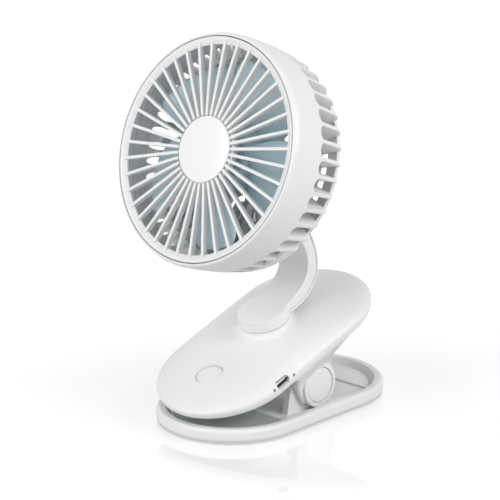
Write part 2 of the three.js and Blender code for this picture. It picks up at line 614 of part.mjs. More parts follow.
function swivelWasher() {
  return turned([[1.7, -7.1], [9, -7.1], [9, -6.1], [1.7, -6.1]], 18);
}

// ---------------------------------------------------------------- head
// A rear fin in side view: it leaves the barrel, rounds the rear corner and runs in to the hub, or, every
// second one, to the innermost ring.
function finOutline(inner) {
  const bend = RIM_RADIUS + 0.3 - REAR_CORNER;
  const rear = 0.1 - HEAD_DEPTH;
  const corner = [];
  for (let k = 0; k <= 2; k++) {
    const angle = k * 45 * DEG;
    corner.push([bend + REAR_CORNER * Math.cos(angle), rear + REAR_CORNER - REAR_CORNER * Math.sin(angle)]);
  }
  return [[58.8, -18.4], ...corner, [inner, rear], [inner, rear + 2.8], [44.5, rear + 2.8],
    [50.4, rear + 8.4], [57.1, -18.4]];
}

function rearFin(index) {
  const inner = index % 2 ? REAR_RINGS[0] : REAR_HUB - 1;
  const shape = new THREE.Shape(finOutline(inner).map(([r, z]) => new THREE.Vector2(r, z)));
  const geometry = new THREE.ExtrudeGeometry(shape, { depth: FIN_THICKNESS, bevelEnabled: false });
  geometry.translate(0, 0, -FIN_THICKNESS / 2);
  const matrix = new THREE.Matrix4().makeRotationZ(FIN_PHASE + (2 * Math.PI * index) / FIN_COUNT);
  return solid(geometry, matrix.multiply(new THREE.Matrix4().makeRotationX(Math.PI / 2)));
}

// The tilt axle in the head's frame: height on the face and depth.
const tiltDepth = () => {
  const world = [HEAD.y, HEAD.z];
  const [v, n] = [BOSS.v + TILT.v, BOSS.n + TILT.n];
  const [y, z] = [v * slopeCos - n * slopeSin, CLIP_HEIGHT + v * slopeSin + n * slopeCos];
  const place = [y - world[0], z - world[1]];
  const [s, c] = [Math.sin(HEAD.tilt), Math.cos(HEAD.tilt)];
  return [place[0] * s + place[1] * c, -place[0] * c + place[1] * s];
};

function headHousing() {
  const round = (profile) => turnedInStep(profile, FIN_COUNT, FIN_PHASE);
  const barrel = round([[57.15, -0.1], [58.4, -0.6], [BARREL_RADIUS, -2.6], [BARREL_RADIUS, -11],
    [58.95, -19], [56.8, -19], [55.2, -6.9], [57.15, -6.9]]);
  const fins = Array.from({ length: FIN_COUNT }, (unused, index) => rearFin(index));
  const [ringRear, ringFront] = [0.3 - HEAD_DEPTH, 2.7 - HEAD_DEPTH];
  const rings = REAR_RINGS.map((radius) => round([[radius - 0.9, ringFront], [radius - 0.9, ringRear],
    [radius + 0.9, ringRear], [radius + 0.9, ringFront]]));
  const hubFront = 3.1 - HEAD_DEPTH;
  const hub = round([[0, hubFront], [REAR_HUB, hubFront], [REAR_HUB, -HEAD_DEPTH], [0, -HEAD_DEPTH]]);
  const motorSeat = turned([[14.8, 2.5 - HEAD_DEPTH], [14.8, 9 - HEAD_DEPTH], [17, 9 - HEAD_DEPTH],
    [17, 2.5 - HEAD_DEPTH]], 24);
  const [tiltY, tiltZ] = tiltDepth();
  const knuckle = [];
  for (let angle = 180; angle <= 360; angle += 22.5) {
    knuckle.push([tiltY + 6.2 * Math.cos(angle * DEG), tiltZ + 6.2 * Math.sin(angle * DEG)]);
  }
  const root = 1 - HEAD_DEPTH;
  const tongue = plateAcross([[tiltY - 9, root], ...knuckle, [tiltY + 8, root]], -4.4, 4.4);
  const pad = box(-7, 7, tiltY - 10.5, -20, -HEAD_DEPTH - 0.1, hubFront);
  const boreRadius = TILT.pin + 0.25;
  const bore = turnedAlongX([[0, -12], [boreRadius, -12], [boreRadius, 12], [0, 12]], 18, tiltY, tiltZ);
  const screwHoles = MOTOR_SCREW_X.map((x) => disc(1.5, -HEAD_DEPTH - 1, 4 - HEAD_DEPTH, x, 0, 12));
  const vent = disc(2.2, -HEAD_DEPTH - 1, 4 - HEAD_DEPTH, 0, 0, 14);
  const body = joined([barrel, ...fins, ...rings, hub, motorSeat, tongue, pad]);
  return cutFrom(body, [bore, vent, ...screwHoles]);
}

const MOTOR_SCREW_X = [-9, 9];

function rearCap() {
  const back = -HEAD_DEPTH - GAP;
  return turned([[0, back - 3.2], [9, back - 3], [15, back - 2.1], [17.6, back - 1], [18.4, back],
    [13.6, back], [12.6, back - 1.3], [0, back - 1.3]], 24);
}

// Front grille: ring, deep straight ribs with a rounded front edge, and a hub plate.
function frontGrille() {
  const outer = RIM_RADIUS - 0.2;
  const ring = turnedInStep([[outer, -0.1], [54.8, -0.85], [52.3, -1.9], [52.3, -4.8], [53.4, -6.2],
    [outer, -6.2]], RIB_COUNT, RIB_PHASE);
  const hub = turnedInStep([[0, -5.4], [18.4, -5.4], [18.4, -1.9], [0, -1.9]], RIB_COUNT, RIB_PHASE);
  const half = RIB_WIDTH / 2;
  const section = [[-half, -5.2], [half, -5.2], [half, -1.5], [0.4, -0.9], [-0.4, -0.9], [-half, -1.5]];
  const bar = barAlong(section, HUB_DISC_RADIUS + 0.35, 54.3);
  const ribs = Array.from({ length: RIB_COUNT }, (unused, index) =>
    bar.rotate([0, 0, (RIB_PHASE + (2 * Math.PI * index) / RIB_COUNT) / DEG - 90]));
  return joined([ring, hub, ...ribs]);
}

function grilleHubDisc() {
  return turned([[0, -1.6], [HUB_DISC_RADIUS, -1.6], [HUB_DISC_RADIUS, -0.7], [HUB_DISC_RADIUS - 0.4, -0.4],
    [0, -0.2]], 40);
}

// ---------------------------------------------------------------- impeller and motor
// One blade is a twisted sheet: `u` runs hub to tip, `w` runs from the leading to the trailing edge.
function blade(index) {
  const [rows, columns] = [3, 6];
  const root = IMPELLER.hub - 0.9;
  const sheet = (side) => {
    const points = [];
    for (let i = 0; i <= rows; i++) {
      for (let k = 0; k <= columns; k++) {
        const u = i / rows;
        const w = k / columns - 0.5;
        const radius = root + u * (IMPELLER.tip - root);
        const span = (64 - 8 * u * u) * DEG;
        const start = BLADE_PHASE + (2 * Math.PI * index) / BLADE_COUNT;
        const angle = start + w * span + 10 * DEG * u;
        const depth = -16.8 - 2 * w * (6.6 - 1.8 * u) + 1.6 * (1 - 4 * w * w) * u;
        const height = depth + (side * BLADE_THICKNESS) / 2;
        points.push([radius * Math.cos(angle), radius * Math.sin(angle), height]);
      }
    }
    return points;
  };
  const points = [...sheet(1), ...sheet(-1)];
  const [width, layer] = [columns + 1, (rows + 1) * (columns + 1)];
  const index3 = [];
  const quad = (a, b, c, d) => index3.push(a, b, c, a, c, d);
  for (let i = 0; i < rows; i++) {
    for (let k = 0; k < columns; k++) {
      const a = i * width + k;
      quad(a, a + width, a + width + 1, a + 1);
      quad(layer + a, layer + a + 1, layer + a + width + 1, layer + a + width);
    }
    for (const [k, turn] of [[0, 1], [columns, -1]]) {
      const a = i * width + k;
      if (turn > 0) quad(a, layer + a, layer + a + width, a + width);
      else quad(a, a + width, layer + a + width, layer + a);
    }
  }
  for (let k = 0; k < columns; k++) {
    quad(k, k + 1, layer + k + 1, layer + k);
    const a = rows * width + k;
    quad(a, layer + a, layer + a + 1, a + 1);
  }
  const geometry = new THREE.BufferGeometry();
  geometry.setAttribute('position', new THREE.Float32BufferAttribute(points.flat(), 3));
  geometry.setIndex(index3);
  return solid(geometry);
}

function impeller() {
  const { hub, front, rear } = IMPELLER;
  const bossTip = MOTOR.front + 0.6;
  const cup = turned([[0, front], [hub - 6, front - 0.3], [hub - 1.5, front - 1.6], [hub, front - 3.6],
    [hub, rear], [hub - 2, rear], [hub - 2, front - 4.2], [hub - 4, front - 2], [3.4, front - 2],
    [3.4, bossTip], [0, bossTip]], 22);
  const blades = Array.from({ length: BLADE_COUNT }, (unused, index) => blade(index));
  return joined([cup, ...blades]).subtract(disc(SHAFT_RADIUS + 0.1, bossTip - 1, front - 1.6, 0, 0, 14));
}

const motorShaft = () => disc(SHAFT_RADIUS, MOTOR.rear + 0.4, IMPELLER.front - 1.8, 0, 0, 14);

function motorCan() {
  const { radius, front, rear, bearing, bearingDepth } = MOTOR;
  const seat = bearing + 0.15;
  const bore = SHAFT_RADIUS + 0.3;
  const [seatFront, seatRear] = [front - bearingDepth - 0.15, rear + bearingDepth + 0.15];
  const can = turned([[bore, seatFront], [seat, seatFront], [seat, front], [radius - 1, front],
    [radius, front - 1], [radius, rear + 0.6], [radius - 0.6, rear], [seat, rear], [seat, seatRear],
    [bore, seatRear]], 16);
  return cutFrom(can, MOTOR_SCREW_X.map((x) => disc(1.3, rear - 1, rear + 6, x, 0, 8)));
}

function bearing(z0, z1) {
  const bore = SHAFT_RADIUS + 0.12;
  return turned([[bore, z0], [MOTOR.bearing, z0], [MOTOR.bearing, z1], [bore, z1]], 12);
}

// ---------------------------------------------------------------- assembly
addPiece(fan, 'base_shell', baseShell(), WHITE);
addPiece(fan, 'base_bottom_plate', baseBottomPlate(), WHITE);
addPiece(fan, 'foot_pad', footPad(), PAD_GREY);
addPiece(fan, 'lower_jaw_pad', lowerJawPad(), PAD_GREY);
addPiece(fan, 'pivot_pin', pivotPin(), STEEL);
addPiece(fan, 'torsion_spring', torsionSpring(), SPRING_STEEL);
BASE_SCREWS.forEach(([x, y], index) => {
  addPiece(fan, `base_screw_${index + 1}`, screw(x, y, 0.25, 0.95, 7.4, 2.4, 1.1), STEEL);
});

addPiece(clipFrame, 'clip_top_cover', clipTopCover(), WHITE);
addPiece(clipFrame, 'clip_bottom_cover', clipBottomCover(), WHITE);
addPiece(clipFrame, 'upper_jaw_pad', upperJawPad(), PAD_GREY);
addPiece(clipFrame, 'pivot_cap_right', pivotCap(1), WHITE);
addPiece(clipFrame, 'pivot_cap_left', pivotCap(-1), WHITE);
addPiece(clipFrame, 'power_button', powerButton(), WHITE);
addPiece(clipFrame, 'tact_switch', tactSwitch(), SWITCH_BLACK);
addPiece(clipFrame, 'circuit_board', circuitBoard(), BOARD_GREEN);
addPiece(clipFrame, 'battery_cell', box(-17, 17, 12, 44, -1.1, 2.9), CELL_FILM);
addPiece(clipFrame, 'usb_c_socket', usbSocket(), STEEL);
addPiece(clipFrame, 'led_pipe_front', ledPipe(ledPlaces()[0]), LIGHT_PIPE);
addPiece(clipFrame, 'led_pipe_rear', ledPipe(ledPlaces()[1]), LIGHT_PIPE);
CLIP_BOSSES.forEach(([x, v, top], index) => {
  const body = screw(x, v, CLIP_LIP + 0.1, CLIP_LIP + 0.85, top - 1.1, 2.3, 1.1);
  addPiece(clipFrame, `clip_screw_${index + 1}`, body, STEEL);
});

addPiece(armFrame, 'arm_front_shell', armFrontShell(), WHITE);
addPiece(armFrame, 'arm_back_cover', armBackCover(), WHITE);
addPiece(armFrame, 'motor_lead', motorLead(), LEAD_JACKET);
addPiece(armFrame, 'tilt_pin', tiltPin(), STEEL);
addPiece(armFrame, 'tilt_pin_cap_right', tiltPinCap(1), WHITE);
addPiece(armFrame, 'tilt_pin_cap_left', tiltPinCap(-1), WHITE);
addPiece(armFrame, 'tilt_washer_right', tiltWasher(1), STEEL);
addPiece(armFrame, 'tilt_washer_left', tiltWasher(-1), STEEL);
addPiece(armFrame, 'swivel_washer', swivelWasher(), STEEL);
addPiece(armFrame, 'swivel_screw', screw(0, 0, -8.5, -7.3, 3.4, 3.2, 1.35), STEEL);

addPiece(headFrame, 'head_housing', headHousing(), WHITE);
addPiece(headFrame, 'front_grille', frontGrille(), WHITE);
addPiece(headFrame, 'grille_hub_disc', grilleHubDisc(), DISC_WHITE);
addPiece(headFrame, 'rear_cap', rearCap(), WHITE);
addPiece(headFrame, 'impeller', impeller(), BLADE_BLUE);
addPiece(headFrame, 'motor_shaft', motorShaft(), STEEL);
addPiece(headFrame, 'motor_can', motorCan(), MOTOR_STEEL);
addPiece(headFrame, 'front_bearing', bearing(MOTOR.front - MOTOR.bearingDepth, MOTOR.front), BRONZE);
addPiece(headFrame, 'rear_bearing', bearing(MOTOR.rear, MOTOR.rear + MOTOR.bearingDepth), BRONZE);
MOTOR_SCREW_X.forEach((x, index) => {
  const back = -HEAD_DEPTH - 0.1;
  const body = screw(x, 0, back - 1.1, back, MOTOR.rear + 5, 2.3, 1.15);
  addPiece(headFrame, `motor_screw_${index + 1}`, body, STEEL);
});

export default fan;
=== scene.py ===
"""Clip fan in white moulded ABS: a finned head on a curved arm, over a spring clip with a flat base.

Lengths in the shape functions are millimetres in the frame of the part they make; `piece` turns them into
metres in the row frame. The fan blows towards -Y, and +X is the side with the charging socket.
"""
from math import acos, atan2, cos, hypot, pi, radians, sin

import bmesh
import bpy
import numpy as np
from mathutils import Matrix, Vector


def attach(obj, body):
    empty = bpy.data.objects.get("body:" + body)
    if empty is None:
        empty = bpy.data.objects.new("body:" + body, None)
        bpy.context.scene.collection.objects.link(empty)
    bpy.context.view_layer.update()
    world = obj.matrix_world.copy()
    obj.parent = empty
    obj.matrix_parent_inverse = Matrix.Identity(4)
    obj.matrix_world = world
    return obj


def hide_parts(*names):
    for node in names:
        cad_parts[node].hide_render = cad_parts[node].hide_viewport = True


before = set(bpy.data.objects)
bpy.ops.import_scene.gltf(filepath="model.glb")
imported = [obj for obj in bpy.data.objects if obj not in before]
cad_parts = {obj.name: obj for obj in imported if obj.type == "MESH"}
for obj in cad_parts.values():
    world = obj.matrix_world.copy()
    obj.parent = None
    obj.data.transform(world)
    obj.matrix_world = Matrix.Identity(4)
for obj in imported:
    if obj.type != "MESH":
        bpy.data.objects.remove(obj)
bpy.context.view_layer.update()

MM = 0.001
TAU = 2 * pi

# ---- dimensions of the object (mm)
BASE = dict(half=39.7, front=-69.75, rear=69.75)
BASE_FLOOR = 3.6
PIVOT = (4.8, 16.25)  # y, z of the clip's axle
PIN_RADIUS = 2.5
PIN_GAP = 0.2  # from a pin to its bore
LUG_INNER, LUG_OUTER, LUG_RADIUS = 22.4, 25.2, 8.6
EAR_INNER, EAR_OUTER, RING_FACE, RING_RADIUS, CAP_RADIUS = 25.7, 28.3, 30.2, 11.9, 9.24
BASE_SCREWS = [(x, y) for x in (-20.8, 20.8) for y in (-5, 13)]

CLIP = dict(half=38.1, front=-73, rear=62.2)
CLIP_WALL = 2.2
CLIP_LIP = -3.0
COVER_TOP = -1.4
CLIP_BOSSES = [(-13, -63), (13, -63), (-24, 36), (24, 36)]
BUTTON_V, BUTTON_RADIUS, BUTTON_TOP = -47.35, 7.1, 6.3
SOCKET_V, SOCKET_N, SOCKET_LENGTH, SOCKET_HEIGHT = -32.8, 2.2, 9.0, 3.2
LED_V, LED_N = (SOCKET_V + 0.4 - 7.3, SOCKET_V + 0.4 + 7.3), 1.75

BOSS_V, BOSS_N, BOSS_RADIUS = -1.94, 11.35, 13.7
SEAT_BORE, SEAT_FLOOR, SEAT_FLARE = 6.3, 5.6, 4.6
FOOT_TOP, FOOT_RADIUS = 6.84, 13.3
ARM_HALF = 10.3
ARM_COVER = 1.2
TILT_V, TILT_N, TILT_RADIUS, TILT_PIN = 14.9, 54.3, 7.0, 2.2

HEAD_TILT = radians(19.44)
RIM_RADIUS = 57.0
BARREL_RADIUS = 59.35
SLOT_START, SLOT_RADIUS = -20.0, 59.02
CLOSED_HALF = 47  # degrees to each side of the lowest point, where a wall closes the rear of the slots
HEAD_DEPTH = 44.5
REAR_CORNER = 10.0
FIN_COUNT, FIN_THICKNESS, FIN_PHASE = 42, 2.0, radians(-0.4)
REAR_HUB = 23.0
REAR_RINGS = (32.4, 40.2)
RIB_COUNT, RIB_WIDTH, RIB_PHASE = 39, 1.6, radians(-8.8)
DISC_RADIUS = 16.75
BLADE_COUNT, BLADE_PHASE = 5, radians(53)
HUB_RADIUS, BLADE_TIP = 21.0, 48.5
MOTOR_SCREWS = [(-9, 0), (9, 0)]

SPRING_RADIUS, SPRING_WIRE, SPRING_TURNS, SPRING_PITCH = 4.7, 1.8, 7, 2.75

# ---- frames
SLOPE = radians(19.4)
ROOT = Matrix.Identity(4)
CLIP_FRAME = Matrix.Translation((0, 0, 37.84 * MM)) @ Matrix.Rotation(SLOPE, 4, 'X')
ARM_FRAME = CLIP_FRAME @ Matrix.Translation((0, BOSS_V * MM, BOSS_N * MM))
HEAD_CENTRE = Vector((0, -50.63, 147.19)) * MM
HEAD_FRAME = Matrix.Translation(HEAD_CENTRE) @ Matrix.Rotation(pi / 2 - HEAD_TILT, 4, 'X')

# A shape's frame, with the body that its piece rides on.
ON_BASE, ON_CLIP, ON_BUTTON = (ROOT, 'base'), (CLIP_FRAME, 'clip'), (CLIP_FRAME, 'button')
ON_ARM, ON_HEAD, ON_ROTOR = (ARM_FRAME, 'arm'), (HEAD_FRAME, 'head'), (HEAD_FRAME, 'rotor')


def seen_from(matrix, other, point):
    """A point in millimetres in `other`, given in `matrix`'s own frame."""
    return [c / MM for c in matrix.inverted() @ other @ (Vector(point) * MM)]


_, *AXLE = seen_from(CLIP_FRAME, ROOT, (0, *PIVOT))  # the same axle in the clip's frame
_, TILT_Y, TILT_Z = seen_from(HEAD_FRAME, ARM_FRAME, (0, TILT_V, TILT_N))

# ---- camera
camera = bpy.data.objects.new("camera", bpy.data.cameras.new("camera"))
bpy.context.scene.collection.objects.link(camera)
bpy.context.scene.camera = camera
camera.data.lens = 158.4
camera.data.clip_end = 20
camera.location = Vector((744.3, -802.9, 404.7)) * MM
AIM = Vector((26.6, -44.8, 99.2)) * MM
camera.rotation_euler = (AIM - camera.location).to_track_quat('-Z', 'Y').to_euler()
bpy.context.scene.view_settings.view_transform = 'Standard'


# ---- materials
def linear(code):
    """An sRGB hex colour as linear RGBA."""
    channels = [int(code[i:i + 2], 16) / 255 for i in (1, 3, 5)]
    return [c / 12.92 if c <= 0.04045 else ((c + 0.055) / 1.055) ** 2.4 for c in channels] + [1]


def add(tree, kind, links=None, **settings):
    """Adds a node. `links` maps an input to a socket or a value; settings are the node's own properties."""
    node = tree.nodes.new(kind)
    for key, value in settings.items():
        setattr(node, key, value)
    for key, value in (links or {}).items():
        if isinstance(value, bpy.types.NodeSocket):
            tree.links.new(value, node.inputs[key])
        else:
            node.inputs[key].default_value = value
    return node


def per_mm(size):
    """The noise scale whose grains are `size` millimetres, on coordinates in metres."""
    return 1 / (size * MM)


def emptied(holder):
    """The node tree of a material or a world, with nothing in it."""
    holder.use_nodes = True
    holder.node_tree.nodes.clear()
    return holder.node_tree


def finish_of(name, slot, base, shade, rough, grain_mm, grain_depth_mm, drift=0.05, **shader):
    """A material, returned with the name of its slot. Its colour drifts between two near tones over centimetres, with
    a fine grain in its relief and slow changes of polish. `drift` is the spread of roughness."""
    material = bpy.data.materials.new(name)
    tree = emptied(material)
    place = add(tree, 'ShaderNodeTexCoord').outputs['Object']
    slow = add(tree, 'ShaderNodeTexNoise', {'Vector': place, 'Scale': per_mm(28), 'Detail': 3.0})
    tone = add(tree, 'ShaderNodeMix', {'Factor': slow.outputs['Fac'], 'A': linear(base), 'B': linear(shade)},
               data_type='RGBA')
    polish = add(tree, 'ShaderNodeMapRange', {'Value': slow.outputs['Fac'], 'From Min': 0.3, 'From Max': 0.7,
                                              'To Min': rough - drift, 'To Max': rough + drift})
    grain = add(tree, 'ShaderNodeTexNoise', {'Vector': place, 'Scale': per_mm(grain_mm), 'Detail': 2.0})
    relief = add(tree, 'ShaderNodeBump', {'Height': grain.outputs['Fac'], 'Strength': 1.0,
                                          'Distance': grain_depth_mm * MM})
    surface = add(tree, 'ShaderNodeBsdfPrincipled', {'Base Color': tone.outputs['Result'],
                                                     'Roughness': polish.outputs['Result'],
                                                     'Normal': relief.outputs['Normal'], **shader})
    add(tree, 'ShaderNodeOutputMaterial', {'Surface': surface.outputs['BSDF']})
    return material, slot


# Injection-moulded ABS, fine spark-eroded mould: a soft satin white with a wide dull highlight.
ABS_SATIN = finish_of("moulded_abs_satin", "shell_white", "#E9E9E9", "#E4E5E5", 0.42, 0.35, 0.004, IOR=1.54)
# The same plastic from a polished mould: the hub plate shows a brighter, tighter highlight.
ABS_POLISHED = finish_of("moulded_abs_polished", "disc_white", "#F0F0F0", "#EEEFEF", 0.3, 1.2, 0.0005, 0.02, IOR=1.54)
# Tinted ABS of the impeller: cool grey-blue, a little glossier than the housing.
ABS_BLUE = finish_of("tinted_abs_blades", "blade_blue", "#AEC4CC", "#A7BEC7", 0.34, 0.6, 0.003, IOR=1.54)
# Thermoplastic rubber of the jaw pads and the foot: matt, pale grey-green, velvety grain.
RUBBER_PALE = finish_of("thermoplastic_rubber", "pad_rubber", "#A9B0AF", "#A1A8A7", 0.78, 0.25, 0.02)
# Nickel-plated steel of pins and screws: clean grey mirror, slightly blurred.
STEEL_PLATED = finish_of("nickel_plated_steel", "steel", "#C9CBCC", "#BFC1C3", 0.3, 0.8, 0.001, Metallic=1.0)
# Oil-tempered spring wire: darker, drawn smooth.
STEEL_WIRE = finish_of("drawn_spring_wire", "steel", "#8F9295", "#7F8286", 0.36, 0.5, 0.002, Metallic=1.0)
# Deep-drawn zinc-plated motor can.
STEEL_CAN = finish_of("zinc_plated_can", "motor_steel", "#B4B7BA", "#A7AAAE", 0.38, 1.5, 0.002, Metallic=1.0)
# Sintered bronze of the bearings.
BRONZE = finish_of("sintered_bronze", None, "#B08D57", "#9C7B49", 0.5, 0.2, 0.01, Metallic=1.0)
# Solder-masked circuit board.
BOARD = finish_of("solder_mask_board", None, "#2D6A49", "#28603F", 0.45, 0.6, 0.004)
# Aluminised film of a pouch cell.
FILM = finish_of("pouch_cell_film", None, "#A4ABB2", "#989FA7", 0.4, 2.5, 0.05, Metallic=0.6)
# PVC jacket of the motor's lead.
JACKET = finish_of("pvc_jacket", None, "#3A3B3D", "#333436", 0.5, 0.6, 0.005)
# Clear polycarbonate light pipes, seen dark where no lamp is lit.
LIGHT_PIPE = finish_of("polycarbonate_pipe", "light_pipe", "#6E7375", "#666B6D", 0.2, 1.0, 0.001, IOR=1.58)
# Glass-filled nylon of the key switch.
NYLON = finish_of("black_nylon", None, "#2B2C2E", "#242527", 0.5, 0.4, 0.01)


# ---- mesh tools
def rounded(corners, steps=5, closed=True):
    """A polygon [(a, b, radius), ...] with an arc of that radius at each corner, as points."""
    points = []
    count = len(corners)
    for i, corner in enumerate(corners):
        here = np.array(corner[:2], float)
        radius = corner[2] if len(corner) > 2 else 0
        if radius == 0 or (not closed and i in (0, count - 1)):
            points.append(here)
            continue
        before = np.array(corners[i - 1][:2], float) - here
        after = np.array(corners[(i + 1) % count][:2], float) - here
        lengths = np.linalg.norm(before), np.linalg.norm(after)
        u, w = before / lengths[0], after / lengths[1]
        half = acos(np.clip(u @ w, -1, 1)) / 2
        reach = min(radius / np.tan(half), 0.49 * min(lengths))
        bisector = (u + w) / np.linalg.norm(u + w)
        centre = here + bisector * reach / cos(half)
        turn = pi - 2 * half
        first = here + u * reach - centre
        sign = np.sign(first[0] * (here - centre)[1] - first[1] * (here - centre)[0])
        angles = sign * np.linspace(0, turn, steps + 1)
        spun = np.stack([first[0] * np.cos(angles) - first[1] * np.sin(angles),
                         first[0] * np.sin(angles) + first[1] * np.cos(angles)], 1)
        points.extend(centre + spun)
    return np.array(points)


def grid_faces(rows, columns, wrap_rows=False, wrap_columns=False, start=0):
    """Quads of a grid of points numbered row by row."""
    r = np.arange(rows if wrap_rows else rows - 1)
    c = np.arange(columns if wrap_columns else columns - 1)
    r, c = np.meshgrid(r, c, indexing='ij')
    r2, c2 = (r + 1) % rows, (c + 1) % columns
    quads = np.stack([r * columns + c, r * columns + c2, r2 * columns + c2, r2 * columns + c], -1)
    return (quads.reshape(-1, 4) + start).tolist()


def together(*shapes):
    """Several (points, faces) as one."""
    points, faces, start = [], [], 0
    for p, f in shapes:
        points.append(np.asarray(p, float).reshape(-1, 3))
        faces.extend([[i + start for i in face] for face in f])
        start += len(points[-1])
    return np.concatenate(points), faces


def lathe(profile, steps=128, along='z', centre=(0, 0)):
    """A profile of (radius, height) turned about an axis: (r cos a, r sin a, height), a over a full turn. The
    profile closes on itself unless it begins and ends on the axis."""
    profile = np.asarray(profile, float)
    on_axis = profile[[0, -1], 0].max() < 1e-6
    angle = np.linspace(0, TAU, steps, endpoint=False)
    r, h = profile[:, :1], profile[:, 1:2] + 0 * angle
    across, up = r * np.cos(angle) + centre[0], r * np.sin(angle) + centre[1]
    points = np.stack([h, across, up] if along == 'x' else [across, up, h], -1)
    return points.reshape(-1, 3), grid_faces(len(profile), steps, wrap_rows=not on_axis, wrap_columns=True)


def turned(profile, side, steps, centre):
    """A profile of (radius, x) turned about an axle along X, on the right (side 1) or mirrored to the left (-1)."""
    return lathe([(r, side * x) for r, x in profile], steps, 'x', centre)


def loft(rings):
    """Rings of equal point count joined in order, the first and last closed by a flat face."""
    rings = np.asarray(rings, float)
    rows, columns = rings.shape[:2]
    ends = [list(range(columns))[::-1], list(range((rows - 1) * columns, rows * columns))]
    return rings.reshape(-1, 3), grid_faces(rows, columns, wrap_columns=True) + ends


def inset(outline, distance):
    """A closed outline moved inwards: each point goes along its mitre by distance / cos(half its turn)."""
    ahead = np.roll(outline, -1, 0) - outline
    ahead /= np.maximum(np.linalg.norm(ahead, axis=1, keepdims=True), 1e-9)
    behind = np.roll(ahead, 1, 0)
    x, y = outline[:, 0], outline[:, 1]
    way = np.sign(np.sum(x * np.roll(y, -1) - np.roll(x, -1) * y))
    normal = np.stack([-(ahead + behind)[:, 1], (ahead + behind)[:, 0]], 1) * way
    length = np.linalg.norm(normal, axis=1, keepdims=True)
    normal /= np.maximum(length, 1e-9)
    return outline + normal * distance / np.clip(length / 2, 0.5, 1)


def plate(outline, x0, x1, edge=0.4, steps=4):
    """An outline of (y, z) carried from x0 to x1, its two rims rounded by quarter circles of radius `edge`."""
    outline = np.asarray(outline, float)
    keep = np.linalg.norm(np.roll(outline, -1, 0) - outline, axis=1) > 1e-4
    outline = outline[keep]
    angle = np.linspace(0, pi / 2, steps + 1)
    offsets = edge * (1 - np.sin(angle)), edge * (1 - np.cos(angle))
    rings = []
    for off, x in list(zip(offsets[0], x0 + offsets[1])) + list(zip(offsets[0], x1 - offsets[1]))[::-1]:
        flat = inset(outline, off)
        rings.append(np.column_stack([np.full(len(flat), x), flat]))
    return loft(rings)


def stadium_ring(outline, drawn_in, height, arc=40, side=14):
    """Two half circles of radius half - drawn_in joined by straight sides; height is a number or f(x, y)."""
    r = outline['half'] - drawn_in
    rear, front = outline['rear'] - outline['half'], outline['front'] + outline['half']
    turn = np.linspace(0, pi, arc, endpoint=False)
    share = np.linspace(0, 1, side, endpoint=False)
    x = np.concatenate([r * np.cos(turn), np.full(side, -r), -r * np.cos(turn), np.full(side, r)])
    y = np.concatenate([rear + r * np.sin(turn), rear + share * (front - rear),
                        front - r * np.sin(turn), front + share * (rear - front)])
    z = height(x, y) if callable(height) else np.full(len(x), float(height))
    return np.stack([x, y, z], 1)


def stadium(outline, rings):
    """A loft of flat stadium rings [(drawn_in, height), ...]."""
    return loft([stadium_ring(outline, d, h, side=4) for d, h in rings])


def tube(path, radius, sides=16):
    """A round section carried along a path that doesn't start along X. Its frame is turned from point to point
    by the least angle."""
    ahead = np.gradient(path, axis=0)
    ahead /= np.linalg.norm(ahead, axis=1, keepdims=True)
    up = np.zeros_like(path)
    up[0] = np.cross(ahead[0], (1.0, 0, 0))
    up[0] /= np.linalg.norm(up[0])
    for i in range(1, len(path)):
        up[i] = up[i - 1] - ahead[i] * (up[i - 1] @ ahead[i])
        up[i] /= np.linalg.norm(up[i])
    side = np.cross(ahead, up)
    angle = np.linspace(0, TAU, sides, endpoint=False)[None, :, None]
    return loft(path[:, None] + radius * (np.cos(angle) * up[:, None] + np.sin(angle) * side[:, None]))


def mesh_object(name, shape, matrix, sharp=32):
    """(points in mm, faces) as a smooth-shaded object whose mesh is in the row frame, poles and seams merged."""
    points, faces = shape
    turn = np.array(matrix.to_3x3())
    points = np.asarray(points, float) * MM @ turn.T + np.array(matrix.translation)
    mesh = bpy.data.meshes.new(name)
    mesh.from_pydata(points.tolist(), [], faces)
    work = bmesh.new()
    work.from_mesh(mesh)
    bmesh.ops.remove_doubles(work, verts=work.verts, dist=2e-6)
    bmesh.ops.dissolve_degenerate(work, edges=work.edges, dist=1e-7)
    bmesh.ops.recalc_face_normals(work, faces=work.faces)
    work.to_mesh(mesh)
    work.free()
    smooth_faces(mesh, sharp)
    thing = bpy.data.objects.new(name, mesh)
    bpy.context.scene.collection.objects.link(thing)
    return thing


def smooth_faces(mesh, sharp):
    """Smooth shading, with edges over `sharp` degrees kept crisp."""
    mesh.polygons.foreach_set('use_smooth', np.ones(len(mesh.polygons), bool))
    mesh.set_sharp_from_angle(angle=radians(sharp))
    mesh.update()


def combine(target, tools, how='DIFFERENCE', sharp=32):
    """Cuts the tools out of target, or joins them to it, and bakes the result into target's mesh."""
    for tool in tools:
        step = target.modifiers.new("cut", 'BOOLEAN')
        step.operation, step.object, step.solver = how, tool, 'EXACT'
    mesh = bpy.data.meshes.new_from_object(target.evaluated_get(bpy.context.evaluated_depsgraph_get()))
    target.modifiers.clear()
    old, target.data = target.data, mesh
    name = old.name
    bpy.data.meshes.remove(old)
    mesh.name = name
    smooth_faces(mesh, sharp)
    for tool in tools:
        bpy.data.objects.remove(tool)


def join(target, matrix, *shapes):
    """Joins shapes to target, one after another."""
    for shape in shapes:
        combine(target, [mesh_object("tool", shape, matrix)], 'UNION')


def cut(target, matrix, *shapes):
    """Cuts shapes out of target, together."""
    combine(target, [mesh_object("tool", shape, matrix) for shape in shapes])


def dress(thing, where, finish, nodes):
    """Gives a finished mesh its material and its body, and hides the CAD nodes that it stands for."""
    if nodes == [thing.name.split(".")[0]]:
        thing.name = nodes[0] + "_form"
    material, slot = finish
    thing.data.materials.clear()
    thing.data.materials.append(material)
    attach(thing, where[1])
    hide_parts(*nodes)


